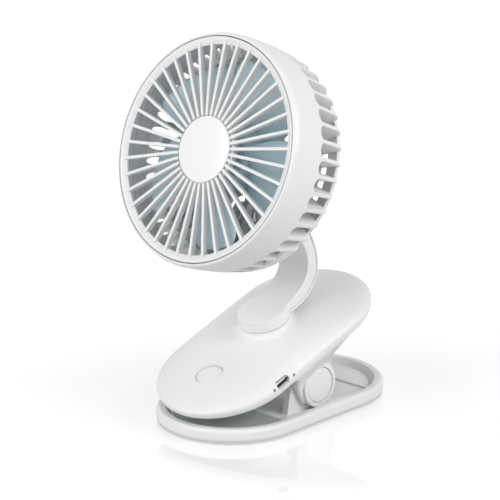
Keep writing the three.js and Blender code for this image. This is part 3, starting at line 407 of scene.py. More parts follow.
def piece(name, shape, where, finish, nodes=None, cuts=(), joins=(), sharp=32):
    """One finished piece, in the frame and on the body that `where` gives. `cuts` and `joins` are shapes in the
    same frame."""
    thing = mesh_object(name, shape, where[0], sharp)
    for shapes, how in ((joins, 'UNION'), (cuts, 'DIFFERENCE')):
        if shapes:
            combine(thing, [mesh_object("tool", s, where[0]) for s in shapes], how, sharp)
    dress(thing, where, finish, nodes or [name])
    return thing


def cylinder(radius, z0, z1, x=0.0, y=0.0, steps=48, along='z'):
    """A plain round tool along Z, or along X with (x, y) read as (y, z)."""
    return lathe([(0, z0), (radius, z0), (radius, z1), (0, z1)], steps, along, (x, y))


def block(x0, x1, y0, y1, z0, z1):
    """A plain square tool."""
    ring = [(x0, y0), (x1, y0), (x1, y1), (x0, y1)]
    return loft([[(x, y, z) for x, y in ring] for z in (z0, z1)])


def pan_screw(x, y, head, seat, tip, head_radius, shank_radius):
    """A pan-head screw: a domed head with a cross recess over a plain shank."""
    away = np.sign(head - seat)
    top = rounded([(0, head + 0.12 * away), (head_radius, head - 0.05 * away, 0.35), (head_radius, seat, 0.05),
                   (shank_radius, seat, 0.05), (shank_radius, tip, 0.2), (0, tip)], closed=False)
    shape = lathe(top, 40, centre=(x, y))
    depth = sorted((head + 0.5 * away, head - 0.4 * away))
    reach, thin = 0.58 * head_radius, 0.16 * head_radius
    return shape, [block(x - reach, x + reach, y - thin, y + thin, *depth),
                   block(x - thin, x + thin, y - reach, y + reach, *depth)]


def screws(prefix, where, places, tips, **sizes):
    """Pan-head screws at `places`, a node each, with the heights of their tips."""
    for i, ((x, y), tip) in enumerate(zip(places, tips), 1):
        shape, recess = pan_screw(x, y, tip=tip, **sizes)
        piece(f"{prefix}_{i}", shape, where, STEEL_PLATED, cuts=recess)


# ---- base: the lower jaw
def base_shell():
    """Tray with a rolled rim: a stadium loft, the rear step, the lugs with their flanges and the screw posts."""
    rim = rounded([(2.9, 2.1), (2.6, 1.1), (0.7, 1.1, 0.15), (0, 2.6, 2), (0.25, 6.5, 1.3), (1.7, 7.75, 1.0),
                   (5.0, 7.7, 0.8), (6.6, 5.0, 1.4), (7.6, BASE_FLOOR, 0.9), (30, BASE_FLOOR)], 6, closed=False)
    shell = mesh_object("base_shell", stadium(BASE, rim), ROOT)
    step = stadium(dict(BASE, front=-24.4), [(8.0, 2.5), (8.0, BASE_FLOOR + 0.6), (8.6, BASE_FLOOR + 0.9),
                                             (9.4, BASE_FLOOR + 1), (30, BASE_FLOOR + 1)])
    rear_step = mesh_object("tool", step, ROOT)
    cut(rear_step, ROOT, block(-45, 45, -90, 43, 0, 12))
    combine(shell, [rear_step], 'UNION')
    foot = BASE_FLOOR - 0.8
    turn = np.radians(np.arange(142, 6, -6))
    arc = [(PIVOT[0] + LUG_RADIUS * cos(a), PIVOT[1] + LUG_RADIUS * sin(a)) for a in turn]
    lug = [(-14.6, foot), (-11.6, 18.6), *arc, (19, foot)]
    flange = rounded([(-15.4, foot), (-12.4, 18.8, 0.4), (-11, 19.4, 0.4), (-13.4, foot)], 3)
    for side in (-1, 1):
        inner, outer = sorted((side * LUG_INNER, side * LUG_OUTER))
        reach = (inner - 1.2, outer) if side > 0 else (inner, outer + 1.2)
        join(shell, ROOT, plate(lug, inner, outer, 0.35), plate(flange, *reach, 0.3))
    post = rounded([(0, foot), (2.9, foot), (2.6, 9, 0.4), (0, 9)], 4, closed=False)
    join(shell, ROOT, *[lathe(post, 40, centre=place) for place in BASE_SCREWS])
    cut(shell, ROOT, cylinder(PIN_RADIUS + PIN_GAP, -40, 40, *PIVOT, along='x'),
        *[cylinder(1.25, -1, 8, x, y, 24) for x, y in BASE_SCREWS])
    dress(shell, ON_BASE, ABS_SATIN, ["base_shell"])


def base_underside():
    """The bottom plate with its thin lip, the rubber foot let into it, and the four screws."""
    sheet = stadium(BASE, [(5.0, 1.1), (5.0, 0.3), (1.0, 0.3), (0.55, 0.45), (0.5, 0.9), (3.2, 0.9), (3.2, 1.8),
                           (30, 1.8)])
    piece("base_bottom_plate", sheet, ON_BASE, ABS_SATIN,
          cuts=[cylinder(1.45, 0, 3, x, y, 24) for x, y in BASE_SCREWS])
    foot = stadium(BASE, [(5.6, 0), (5.35, 0.12), (5.3, 0.3), (5.3, 0.8), (30, 0.8)])
    piece("foot_pad", foot, ON_BASE, RUBBER_PALE, cuts=[cylinder(3, -1, 2, x, y, 40) for x, y in BASE_SCREWS])
    screws("base_screw", ON_BASE, BASE_SCREWS, [7.4] * 4, head=0.25, seat=0.95, head_radius=2.4, shank_radius=1.1)


def lower_jaw_pad():
    """The pad in the front tray, cut off straight behind."""
    top = BASE_FLOOR + 1.3
    rings = [(9.4, BASE_FLOOR + 0.3), (9.2, BASE_FLOOR + 0.6), (9.3, top - 0.3), (9.55, top - 0.08), (9.9, top),
             (30, top)]
    piece("lower_jaw_pad", stadium(dict(BASE, rear=BASE['half'] + 4), rings), ON_BASE, RUBBER_PALE,
          cuts=[block(-45, 45, -24, 95, 0, 12)])


def spring_path():
    """The wire's middle line: a straight leg on the tray, a helix round the axle, a straight leg under the
    clip's cover. Each leg is tangent to the helix."""
    half = SPRING_TURNS * SPRING_PITCH / 2
    under = CLIP_LIP - SPRING_WIRE / 2 - 0.3
    start = np.array([-half, 37, BASE_FLOOR + SPRING_WIRE / 2 + 0.3])
    end = np.array([half, 33, 37.84 + (under + 33 * sin(SLOPE)) / cos(SLOPE)])

    def touch(point, side):
        dy, dz = point[1] - PIVOT[0], point[2] - PIVOT[1]
        return atan2(dz, dy) + side * acos(SPRING_RADIUS / hypot(dy, dz))

    begin = touch(start, -1)
    sweep = begin - touch(end, 1) + TAU * (SPRING_TURNS + 1)
    share = np.linspace(0, 1, 420)
    angle = begin - share * sweep
    coil = np.stack([half * (2 * share - 1), PIVOT[0] + SPRING_RADIUS * np.cos(angle),
                     PIVOT[1] + SPRING_RADIUS * np.sin(angle)], 1)
    leg = np.linspace(0, 1, 24, endpoint=False)[:, None]
    return np.concatenate([start + (coil[0] - start) * leg, coil, (coil[-1] + (end - coil[-1]) * leg)[1:],
                           [end]])


def axle_and_spring():
    """The steel axle through ears and lugs, and the torsion spring round it."""
    end = EAR_OUTER - 0.1
    pin = rounded([(0, -end), (PIN_RADIUS, -end, 0.4), (PIN_RADIUS, end, 0.4), (0, end)], closed=False)
    piece("pivot_pin", lathe(pin, 64, 'x', PIVOT), ON_BASE, STEEL_PLATED)
    piece("torsion_spring", tube(spring_path(), SPRING_WIRE / 2), ON_BASE, STEEL_WIRE)


# ---- clip: the upper jaw
def crown(v):
    """Height of the roof's ridge along the clip: a parabola."""
    return 8.7 - 1.8 * ((v + 2) / 45) ** 2


def roof(drawn_in, v, drop=0.0):
    """Height of the roof above the datum plane, a superellipse across the rim."""
    share = np.minimum(1, drawn_in / CLIP['half'])
    return 0.2 + (crown(v) - drop - 0.2) * (1 - (1 - share) ** 3.6) ** (1 / 2.3)


def roof_at(x, v):
    """The same from a place in the plane."""
    ends = np.clip(v, CLIP['front'] + CLIP['half'], CLIP['rear'] - CLIP['half'])
    return roof(CLIP['half'] - np.hypot(x, v - ends), v)


def clip_shell_loft(shift, drop, lip):
    """The closed solid under a roof: rings from the lip up over the rim, closing towards the ridge."""
    spread = CLIP['half'] * (1 - np.cos(np.linspace(0, pi / 2, 34))) * 0.985
    rings = [stadium_ring(CLIP, d, h) for d, h in lip]
    rings += [stadium_ring(CLIP, d + shift, lambda x, v, d=d: roof(d, v, drop))
              for d in spread[spread < 37.6 - shift]]
    rings.append(stadium_ring(CLIP, CLIP['half'] - 0.02, lambda x, v: roof(CLIP['half'], v, drop)))
    return loft(rings)


def boss_collar():
    """The swivel seat: a polar grid whose height falls from the flat seat on to the roof in a hollow curve,
    (1 - sqrt(1 - (1 - t)^2)), and meets it without a crease."""
    angle = np.linspace(0, TAU, 128, endpoint=False)[None, :]
    top = BOSS_N - 0.15
    flare = np.linspace(0, 1, 18)[:, None]
    radius = BOSS_RADIUS + SEAT_FLARE * flare
    x, v = radius * np.cos(angle), BOSS_V + radius * np.sin(angle)
    start = roof_at(BOSS_RADIUS * np.cos(angle), BOSS_V + BOSS_RADIUS * np.sin(angle))
    fall = 1 - np.sqrt(1 - (1 - flare) ** 2)
    hollow = np.stack([x, v, roof_at(x, v) - 0.03 * flare + (top - 0.5 - start) * fall], -1)

    def ring(r, h):
        return np.stack([r * np.cos(angle[0]), BOSS_V + r * np.sin(angle[0]), np.full(angle.shape[1], h)], -1)

    inner = [ring(SEAT_BORE, SEAT_FLOOR), ring(SEAT_BORE, top)]
    edge = [ring(BOSS_RADIUS - 0.4 + 0.4 * sin(a), top - 0.4 + 0.4 * cos(a)) for a in np.linspace(0, pi / 2, 5)]
    rings = np.array(inner + edge + list(hollow) + [ring(BOSS_RADIUS + SEAT_FLARE, SEAT_FLOOR)])
    return rings.reshape(-1, 3), grid_faces(len(rings), rings.shape[1], wrap_rows=True, wrap_columns=True)


def ear(side):
    """A rounded rectangle in each level plane, lofted downwards: its outer face sweeps in from the body's side
    to the axle ring and its front and rear edges follow the side view."""
    level = np.concatenate([np.linspace(-1.0, -8, 15), np.linspace(-8.6, AXLE[1] - 4, 24)])
    outer = np.interp(level, *zip(*[(-36, EAR_OUTER), (-22, EAR_OUTER), (-18, 28.6), (-13.6, 29.7), (-9.8, 32),
                                    (-6.4, 34.9), (-3.6, 36.9), (-2.2, 37.5), (-1, 37.3)]))
    front = np.interp(level, *zip(*[(-30, -14.4), (-20.5, -16.6), (-16, -17.3), (-8.6, -19.3), (-4.6, -21.6),
                                    (-2.6, -25), (-1, -29)]))
    rear = np.interp(level, *zip(*[(-30, 8.8), (-20, 9.2), (-15, 9.7), (-11, 10.5), (-7.4, 12.4), (-4.4, 15.6),
                                   (-2.6, 20), (-1, 26)]))
    kernel = np.ones(5) / 5
    smooth = [np.convolve(np.pad(a, 2, mode='edge'), kernel, 'valid') for a in (outer, front, rear)]
    corner = 0.9
    turn = np.linspace(0, pi / 2, 6)
    rings = []
    for n, xo, vf, vr in zip(level, *smooth):
        ring = []
        for cx, cv, start in ((xo, vr, 0), (EAR_INNER, vr, 1), (EAR_INNER, vf, 2), (xo, vf, 3)):
            r = corner if cx == xo else 0.3
            dx, dv = (-1 if cx == xo else 1), (-1 if cv == vr else 1)
            angle = turn + start * pi / 2
            ring += list(zip(cx + dx * r + r * np.cos(angle), cv + dv * r + r * np.sin(angle)))
        rings.append([(side * x, v, n) for x, v in ring])
    return loft(rings)


def ear_ring(side):
    """The round boss at the ear's end, with a rolled front edge."""
    profile = rounded([(0, EAR_INNER), (RING_RADIUS, EAR_INNER, 0.3), (RING_RADIUS, RING_FACE, 0.7), (0, RING_FACE)],
                      6, closed=False)
    return turned(profile, side, 128, AXLE)


def slot_outline(grow):
    """The socket's mouth: a stadium of its length and height."""
    reach = (SOCKET_LENGTH - SOCKET_HEIGHT) / 2
    angle = np.linspace(0, TAU, 33)[:-1] + TAU / 64
    r = SOCKET_HEIGHT / 2 + grow
    return np.stack([SOCKET_V + np.sign(np.cos(angle)) * reach + r * np.cos(angle),
                     SOCKET_N + r * np.sin(angle)], 1)


def clip_top_cover():
    """Crowned shell with its seat, ears, button hole, socket mouth and light holes."""
    lip = rounded([(2.2, CLIP_LIP), (1.4, CLIP_LIP, 0.25), (0.4, CLIP_LIP + 1.2, 1.2), (0, 0)], 4, closed=False)
    cover = mesh_object("clip_top_cover", clip_shell_loft(0, 0, lip[:-1]), CLIP_FRAME)
    cut(cover, CLIP_FRAME, clip_shell_loft(CLIP_WALL, CLIP_WALL, [(CLIP_WALL, CLIP_LIP - 2)]))
    for side in (-1, 1):
        join(cover, CLIP_FRAME, ear(side), ear_ring(side))
    join(cover, CLIP_FRAME, *[cylinder(2.6, -1.1, 2.4 if v < 0 else 3.8, x, v, 32) for x, v in CLIP_BOSSES],
         boss_collar())
    tools = [cylinder(SEAT_BORE, 0, 14, 0, BOSS_V), cylinder(9.6, 0, 5.7, 0, BOSS_V),
             cylinder(BUTTON_RADIUS + 0.3, 0, 14, 0, BUTTON_V, 128), plate(slot_outline(0.25), 28.5, 45, 0.05),
             cylinder(PIN_RADIUS + PIN_GAP, -32, 32, *AXLE, along='x')]
    tools += [cylinder(0.8, 30, 45, v, LED_N, 24, 'x') for v in LED_V]
    tools += [cylinder(1.25, -4, 1.4 if v < 0 else 2.8, x, v, 20) for x, v in CLIP_BOSSES]
    hole, outside = CAP_RADIUS + 0.3, 34
    seat = [(0, EAR_OUTER), (hole, EAR_OUTER), (hole, RING_FACE - 0.35), (hole + 0.35, outside), (0, outside)]
    tools += [turned(seat, side, 128, AXLE) for side in (-1, 1)]
    cut(cover, CLIP_FRAME, *tools)
    dress(cover, ON_CLIP, ABS_SATIN, ["clip_top_cover"])


def clip_underside():
    """The bottom cover, notched for the ears, its screws, and the ribbed pad of the upper jaw."""
    rings = [(CLIP_WALL + 0.7, CLIP_LIP), (CLIP_WALL + 0.4, CLIP_LIP + 0.12), (CLIP_WALL + 0.3, CLIP_LIP + 0.4),
             (CLIP_WALL + 0.3, COVER_TOP), (34, COVER_TOP)]
    notches = [block(EAR_INNER - 0.3, 45, -25.4, 20.4, -6, 0), block(-45, 0.3 - EAR_INNER, -25.4, 20.4, -6, 0)]
    holes = [cylinder(1.45, -6, 0, x, v, 24) for x, v in CLIP_BOSSES]
    holes += [cylinder(2.6, -6, CLIP_LIP + 1, x, v, 40) for x, v in CLIP_BOSSES]
    piece("clip_bottom_cover", stadium(CLIP, rings), ON_CLIP, ABS_SATIN, cuts=notches + holes)
    screws("clip_screw", ON_CLIP, CLIP_BOSSES, [1.1 if v < 0 else 2.5 for _, v in CLIP_BOSSES], head=CLIP_LIP + 0.1,
           seat=CLIP_LIP + 0.85, head_radius=2.3, shank_radius=1.1)
    top = CLIP_LIP - 0.3
    sheet = stadium(dict(CLIP, rear=CLIP['half']), [(9, top), (8.7, top - 0.2), (8.6, top - 0.8), (8.8, top - 1.4),
                                                    (9.2, top - 1.6), (30, top - 1.6)])
    ribs = []
    for v in (-60, -54.5, -49, -43.5):
        half = (29.5 ** 2 - (v - CLIP['front'] - CLIP['half']) ** 2) ** 0.5 - 2.5
        bead = [(v - 1.2, top - 1), (v - 1.2, top - 2.6, 0.7), (v + 1.2, top - 2.6, 0.7), (v + 1.2, top - 1)]
        ribs.append(plate(rounded(bead, 4), -half, half, 0.3))
    ends = [block(-45, 45, -38, 95, -20, 5)] + [cylinder(3, -20, 0, x, v, 40) for x, v in CLIP_BOSSES[:2]]
    piece("upper_jaw_pad", sheet, ON_CLIP, RUBBER_PALE, joins=ribs, cuts=ends)


def clip_details():
    """Axle caps, power button, socket and light pipes."""
    face = RING_FACE - 0.2
    cap = rounded([(0, EAR_OUTER + 0.2), (CAP_RADIUS, EAR_OUTER + 0.2, 0.1), (CAP_RADIUS, face, 0.5),
                   (5, face + 0.1, 8), (0, face + 0.12)], 5, closed=False)
    for side, name in ((1, "pivot_cap_right"), (-1, "pivot_cap_left")):
        piece(name, turned(cap, side, 128, AXLE), ON_CLIP, ABS_SATIN)
    button = rounded([(0, 2.2), (8.1, 2.2, 0.1), (8.1, 2.8, 0.1), (BUTTON_RADIUS, 2.8, 0.1),
                      (BUTTON_RADIUS, BUTTON_TOP - 0.05, 0.35), (4, BUTTON_TOP + 0.1, 8), (0, BUTTON_TOP + 0.1)],
                     5, closed=False)
    piece("power_button", lathe(button, 128, centre=(0, BUTTON_V)), ON_BUTTON, ABS_SATIN)
    mouth = 36.6
    back = mouth - 7.3
    socket = piece("usb_c_socket", plate(slot_outline(0), back, mouth, 0.12), ON_CLIP, STEEL_PLATED,
                   cuts=[plate(slot_outline(-0.35), back + 1, mouth + 1, 0.05)])
    join(socket, CLIP_FRAME, block(back + 0.5, mouth - 1, SOCKET_V - 3.2, SOCKET_V + 3.2, SOCKET_N - 0.35,
                                   SOCKET_N + 0.35))
    rod = rounded([(0, 32), (0.6, 32), (0.6, 37.1, 0.2), (0, 37.2)], 4, closed=False)
    for v, name in zip(LED_V, ("led_pipe_front", "led_pipe_rear")):
        piece(name, lathe(rod, 32, 'x', (v, LED_N)), ON_CLIP, LIGHT_PIPE)


# ---- arm
def spline(knots, count, t0=0.0, t1=1.0):
    """Points of a Catmull-Rom curve through knots, between the shares t0 and t1 of its knot spans."""
    knots = np.asarray(knots, float)
    spans = len(knots) - 1
    t = np.linspace(t0, t1, count) * spans
    i = np.minimum(t.astype(int), spans - 1)
    w = (t - i)[:, None]
    p0, p1 = knots[np.maximum(i - 1, 0)], knots[i]
    p2, p3 = knots[i + 1], knots[np.minimum(i + 2, spans)]
    p0 = np.where((i == 0)[:, None], p1, p0)
    p3 = np.where((i + 2 > spans)[:, None], p2, p3)
    a, b = (p2 - p0) / 2, (p3 - p1) / 2
    return (2 * p1 - 2 * p2 + a + b) * w ** 3 + (-3 * p1 + 3 * p2 - 2 * a - b) * w ** 2 + a * w + p1


def beside(points, distance):
    """An open line moved to the left of its heading by distance."""
    heading = np.gradient(points, axis=0)
    heading /= np.linalg.norm(heading, axis=1, keepdims=True)
    return points + distance * np.stack([-heading[:, 1], heading[:, 0]], 1)


ARM_INNER = [(4, 6.84), (9, 6.9), (15, 7.6), (21, 9.3), (26.2, 12.4), (29.5, 17.2), (30.9, 22.5), (30.6, 28),
             (28.6, 33.5), (25, 38.6), (20, 43.4), (14.6, 46.9)]
ARM_OUTER = [(6, 0.5), (15, 0.4), (21, 1.0), (27.5, 3.3), (33, 7.6), (36.8, 13.1), (38.4, 19.9), (38.5, 27),
             (37.2, 35.5), (33.7, 43), (28, 50.4), (20.2, 58.6)]


def arm_strip(inner, outer, half, edge, steps=5):
    """Rounded rectangles from x -half to half, each spanning from a point of one long edge of the side view to
    the matching point of the other; their corners are quarter circles of radius `edge`."""
    deep = np.linalg.norm(outer - inner, axis=1)
    turn = np.linspace(0, pi / 2, steps + 1)
    x, t = [], []
    for cx, ct, start in ((1, 1, 0), (-1, 1, 1), (-1, 0, 2), (1, 0, 3)):
        angle = turn + start * pi / 2
        x.append(cx * (half - edge) + edge * np.cos(angle))
        t.append(np.stack([ct * (d - 2 * edge) + edge + edge * np.sin(angle) for d in deep]) / deep[:, None])
    x, t = np.concatenate(x), np.concatenate(t, 1)
    flat = inner[:, None] + (outer - inner)[:, None] * t[..., None]
    return loft(np.concatenate([np.broadcast_to(x, t.shape)[..., None], flat], -1))


def arm_front_shell():
    """Strip between the arm's two edges, with its round top and its foot turned about the swivel axis, hollowed
    from behind and forked for the head."""
    inner = spline(ARM_INNER, 70)
    seam = beside(spline(ARM_OUTER, 70), ARM_COVER + 0.4)
    shell = mesh_object("arm_front_shell", arm_strip(inner, seam, ARM_HALF, 0.55), ARM_FRAME)
    top = rounded([(0, -ARM_HALF), (TILT_RADIUS, -ARM_HALF, 0.8), (TILT_RADIUS, ARM_HALF, 0.8), (0, ARM_HALF)], 6,
                  closed=False)
    foot = rounded([(0, 0.15), (FOOT_RADIUS + 0.1, 0.15, 0.2), (FOOT_RADIUS + 0.3, 0.9, 1),
                    (FOOT_RADIUS, FOOT_TOP, 0.4), (0, FOOT_TOP)], 6, closed=False)
    join(shell, ARM_FRAME, lathe(top, 96, 'x', (TILT_V, TILT_N)), lathe(foot, 128), cylinder(6, -5.9, 1))
    skin, begin, end = 2.2, 0.12, 0.78
    channel = arm_strip(beside(spline(ARM_INNER, 40, begin, end), -skin),
                        beside(spline(ARM_OUTER, 40, begin, end), 2), ARM_HALF - skin, 0.3)
    hollow = mesh_object("tool", channel, ARM_FRAME)
    cut(hollow, ARM_FRAME, cylinder(FOOT_RADIUS, -0.5, 1.8))
    combine(shell, [hollow])
    fork = [(32, 30), (32, 37), (25.5, 46), (25.5, 64), (4, 64), (4, 40), (22, 30)]
    slit = [(28, 24.8), (32, 24.8), (32, 29), (28, 29)]
    for tool in (plate(fork, -5, 5, 0.02, 1), plate(slit, -2.2, -1.7, 0.02, 1),
                 cylinder(TILT_PIN + PIN_GAP, -12, 12, TILT_V, TILT_N, along='x'), cylinder(1.5, -7, 4, steps=24)):
        cut(shell, ARM_FRAME, tool)
    dress(shell, ON_ARM, ABS_SATIN, ["arm_front_shell"])


def arm_back_cover():
    """The strip that closes the arm from behind, notched at its top for the head's tongue."""
    outer = spline(ARM_OUTER, 80, 0, 0.97)
    piece("arm_back_cover", arm_strip(beside(outer, ARM_COVER), outer, ARM_HALF, 0.45, 4), ON_ARM, ABS_SATIN,
          cuts=[cylinder(FOOT_RADIUS + 0.7, -5, 8, steps=96), block(-5, 5, 14, 36, 50, 64)])


def tilt_joint():
    """Pin, caps and friction washers of the tilting joint."""
    axle = TILT_V, TILT_N
    end = ARM_HALF - 1.2
    pin = rounded([(0, -end), (TILT_PIN, -end, 0.3), (TILT_PIN, end, 0.3), (0, end)], closed=False)
    piece("tilt_pin", lathe(pin, 48, 'x', axle), ON_ARM, STEEL_PLATED)
    cap = rounded([(0, 9.4), (TILT_PIN, 9.4), (TILT_PIN, 10.5), (3.6, 10.5, 0.1), (3.5, 11.1, 0.4), (0, 11.3)], 4,
                  closed=False)
    ring = rounded([(2.5, 4.55, 0.05), (4.8, 4.55, 0.1), (4.8, 4.85, 0.1), (2.5, 4.85, 0.05)], 2)
    for side, word in ((1, "right"), (-1, "left")):
        piece(f"tilt_pin_cap_{word}", turned(cap, side, 64, axle), ON_ARM, ABS_SATIN)
        piece(f"tilt_washer_{word}", turned(ring, side, 64, axle), ON_ARM, STEEL_PLATED)


# ---- head
def fin_stations():
    """Stations of a rear fin: outer edge (R, z), inner edge (R, z) and arc length from the slot's front end. The
    inner edge drops in at once, runs beside the blades and cuts the corner in a straight line."""
    rear, bend = 0.1 - HEAD_DEPTH, RIM_RADIUS + 0.3 - REAR_CORNER
    top = rear + REAR_CORNER
    inner_wall, inner_rear, bar_depth, chamfer_start = 50.2, 44.0, 5.2, -30.0
    z = np.concatenate([SLOT_START - 4.2 * (1 - np.cos(np.linspace(0, pi / 2, 12))), np.linspace(-23.5, top, 9)[:-1]])
    share = (SLOT_START - z) / (SLOT_START - top)
    outer_r = SLOT_RADIUS - (SLOT_RADIUS - (bend + REAR_CORNER)) * share ** 1.25
    drop = np.clip((SLOT_START - z) / 3.2, 0, 1)
    inner_r = inner_wall + (57.1 - inner_wall) * (1 - drop) ** 2 - 0.7 * np.clip(chamfer_start - z, 0, None)
    wall = np.stack([outer_r, z, inner_r, z], 1)
    turn = np.linspace(0, pi / 2, 12)
    last = inner_wall - 0.7 * (chamfer_start - top)
    corner = np.stack([bend + REAR_CORNER * np.cos(turn), top - REAR_CORNER * np.sin(turn),
                       last + (inner_rear - last) * turn / turn[-1],
                       top + (rear + bar_depth - top) * turn / turn[-1]], 1)
    across = np.linspace(bend, REAR_HUB - 1, 10)[1:]
    flat = np.stack([across, 0 * across + rear, np.minimum(across, inner_rear), 0 * across + rear + bar_depth], 1)
    line = np.concatenate([wall, corner, flat])
    run = np.concatenate([[0], np.cumsum(np.hypot(*np.diff(line[:, :2], axis=0).T))])
    return line, run


def rear_fins():
    """Every fin as one loft: at each station a bar that widens inwards like a wedge. Its half width falls from
    half the pitch to half the fin in a quarter ellipse, which gives the slots their round front ends."""
    line, run = fin_stations()
    slot_end, wedge = 2.8, 1.15
    grow = np.clip(run / slot_end, 0, 1)
    pitch = TAU / FIN_COUNT
    full = line[:, 0] * pitch / 2
    half = full - (full - FIN_THICKNESS / 2) * np.sqrt(1 - (1 - grow) ** 2)
    extra = wedge * grow * np.clip((line[:, 2] - 31) / 14, 0, 1)
    outer_round, inner_round = 0.4 * np.minimum(1, run / 2.5), 0.3 * np.minimum(1, run / 2.5)
    turn = np.linspace(0, pi / 2, 5)
    sections = []
    for (ro, zo, ri, zi), w, wider, a, b in zip(line, half, extra, outer_round, inner_round):
        deep = hypot(ro - ri, zo - zi)
        inside = w + wider
        side = np.concatenate([inside - b + b * np.sin(turn), w - a + a * np.cos(turn), [0],
                               -(w - a + a * np.cos(turn))[::-1], -(inside - b + b * np.sin(turn))[::-1]])
        down = np.concatenate([deep - b + b * np.cos(turn), a - a * np.sin(turn), [0],
                               (a - a * np.sin(turn))[::-1], (deep - b + b * np.cos(turn))[::-1]])
        share = down / deep
        sections.append(np.stack([ro + (ri - ro) * share, side, zo + (zi - zo) * share], 1))
    sections = np.array(sections)
    shapes = []
    innermost = int(np.searchsorted(-line[:, 0], -REAR_RINGS[0]))
    for index in range(FIN_COUNT):
        part = sections if index % 2 == 0 else sections[:innermost + 1]
        radius, side, z = part[..., 0], part[..., 1], part[..., 2]
        angle = FIN_PHASE + index * pitch + side / radius
        shapes.append(loft(np.stack([radius * np.cos(angle), radius * np.sin(angle), z], -1)))
    return together(*shapes)


def corner_section(start, sunk, thick, inner_radius, lead=()):
    """Section (R, z) of a wall that follows the rear corner from the angle `start`, `sunk` below the fins' outer
    edge, and runs in along the rear face to inner_radius. `lead` holds points of its outer face before that."""
    rear, bend = 0.1 - HEAD_DEPTH, RIM_RADIUS + 0.3 - REAR_CORNER
    top = rear + REAR_CORNER
    turn = np.linspace(start, pi / 2, 14)
    outer, inner = REAR_CORNER - sunk, REAR_CORNER - sunk - thick
    points = list(lead) + list(zip(bend + outer * np.cos(turn), top - outer * np.sin(turn)))
    points += [(inner_radius, top - outer), (inner_radius, top - inner)]
    points += list(zip(bend + inner * np.cos(turn[::-1]), top - inner * np.sin(turn[::-1])))
    points += [(r - thick, z) for r, z in reversed(lead)]
    return np.array(points)


def rear_rings():
    """Two rings across the fins, a band round the rear corner, and the wall that closes the slots below: the
    corner's section turned through the closed sector, with flat ends."""
    back, front, half = 0.3 - HEAD_DEPTH, 2.7 - HEAD_DEPTH, 0.9
    shapes = [lathe(rounded([(r - half, back, 0.5), (r + half, back, 0.5), (r + half, front, 0.3),
                             (r - half, front, 0.3)], 3), 168) for r in REAR_RINGS]
    shapes.append(lathe(corner_section(radians(52), 0.35, 1.5, 45.2), 336))
    radius, z = corner_section(0, -0.04, 1.9, 37, [(57.62, -31.4), (57.42, -33.2)]).T
    angle = np.radians(-90 + np.linspace(-CLOSED_HALF, CLOSED_HALF, 72))[:, None]
    shapes.append(loft(np.stack([radius * np.cos(angle), radius * np.sin(angle), z + 0 * angle], -1)))
    return together(*shapes)


def head_housing():
    """Barrel, fins, rear rings and lower wall, and the hub plate with the motor's seat and the tongue of the
    tilting joint."""
    barrel = rounded([(57.25, -0.5, 0.05), (57.4, -0.08, 0.12), (58.5, -0.5, 1.2), (BARREL_RADIUS, -3.0, 2.5),
                      (BARREL_RADIUS, -11, 8), (SLOT_RADIUS, SLOT_START), (57.1, SLOT_START), (56.8, -10, 1),
                      (55.2, -6.9, 0.3), (57.25, -6.9)], 6)
    rear = -HEAD_DEPTH
    hub = rounded([(0, rear), (REAR_HUB, rear, 0.8), (REAR_HUB, rear + 3.1, 0.3), (17, rear + 3.1, 0.2),
                   (17, rear + 9, 0.3), (14.8, rear + 9, 0.3), (14.8, rear + 3.1), (0, rear + 3.1)], 4, closed=False)
    turn = np.radians(np.linspace(180, 360, 33))
    knuckle = [(TILT_Y + 6.2 * cos(a), TILT_Z + 6.2 * sin(a)) for a in turn]
    tongue = [(TILT_Y - 9, rear + 1), *knuckle, (TILT_Y + 8, rear + 1)]
    pad = rounded([(TILT_Y - 10.5, rear - 0.1, 0.8), (-20, rear - 0.1, 0.8), (-20, rear + 3.1, 0.3),
                   (TILT_Y - 10.5, rear + 3.1, 0.3)], 4)
    tools = [cylinder(TILT_PIN + 0.25, -12, 12, TILT_Y, TILT_Z, along='x'),
             cylinder(2.2, rear - 1, rear + 4, steps=40)]
    tools += [cylinder(1.5, rear - 1, rear + 4, x, 0, 24) for x, _ in MOTOR_SCREWS]
    piece("head_rear_hub", lathe(hub, 168), ON_HEAD, ABS_SATIN, ["head_housing"], cuts=tools,
          joins=[plate(pad, -7, 7, 0.5), plate(tongue, -4.4, 4.4, 0.5)])
    for name, shape in (("head_barrel", lathe(barrel, 336)), ("head_rear_fins", rear_fins()),
                        ("head_rear_rings", rear_rings())):
        piece(name, shape, ON_HEAD, ABS_SATIN, ["head_housing"])


def grille_ribs():
    """Straight ribs with a flat front and small round edges; near the outer end the width follows a half circle."""
    taper, edge, foot = 1.7, 0.26, -3.4
    start = 55.3 - taper
    line = np.concatenate([np.linspace(DISC_RADIUS + 0.45, start, 12),
                           start + taper * np.sin(np.linspace(0, pi / 2, 9)[1:])])
    end = np.clip((line - start) / taper, 0, 1)
    half = np.maximum(RIB_WIDTH / 2 * np.sqrt(1 - end ** 2), 0.02)
    front = -0.5 - 0.3 * end ** 2
    turn = np.linspace(0, pi / 2, 5)
    sections = []
    for r, w, top in zip(line, half, front):
        soft = min(edge, 0.6 * w)
        out, up = w - soft + soft * np.cos(turn), top - soft + soft * np.sin(turn)
        side = np.concatenate([[w], out, -out[::-1], [-w]])
        z = np.concatenate([[foot], up, up[::-1], [foot]])
        sections.append(np.stack([np.full(len(side), r), side, z], 1))
    sections = np.array(sections)
    shapes = []
    for index in range(RIB_COUNT):
        angle = RIB_PHASE + index * TAU / RIB_COUNT
        x, y = sections[..., 0], sections[..., 1]
        shapes.append(loft(np.stack([x * cos(angle) - y * sin(angle), x * sin(angle) + y * cos(angle),
                                     sections[..., 2]], -1)))
    return together(*shapes)


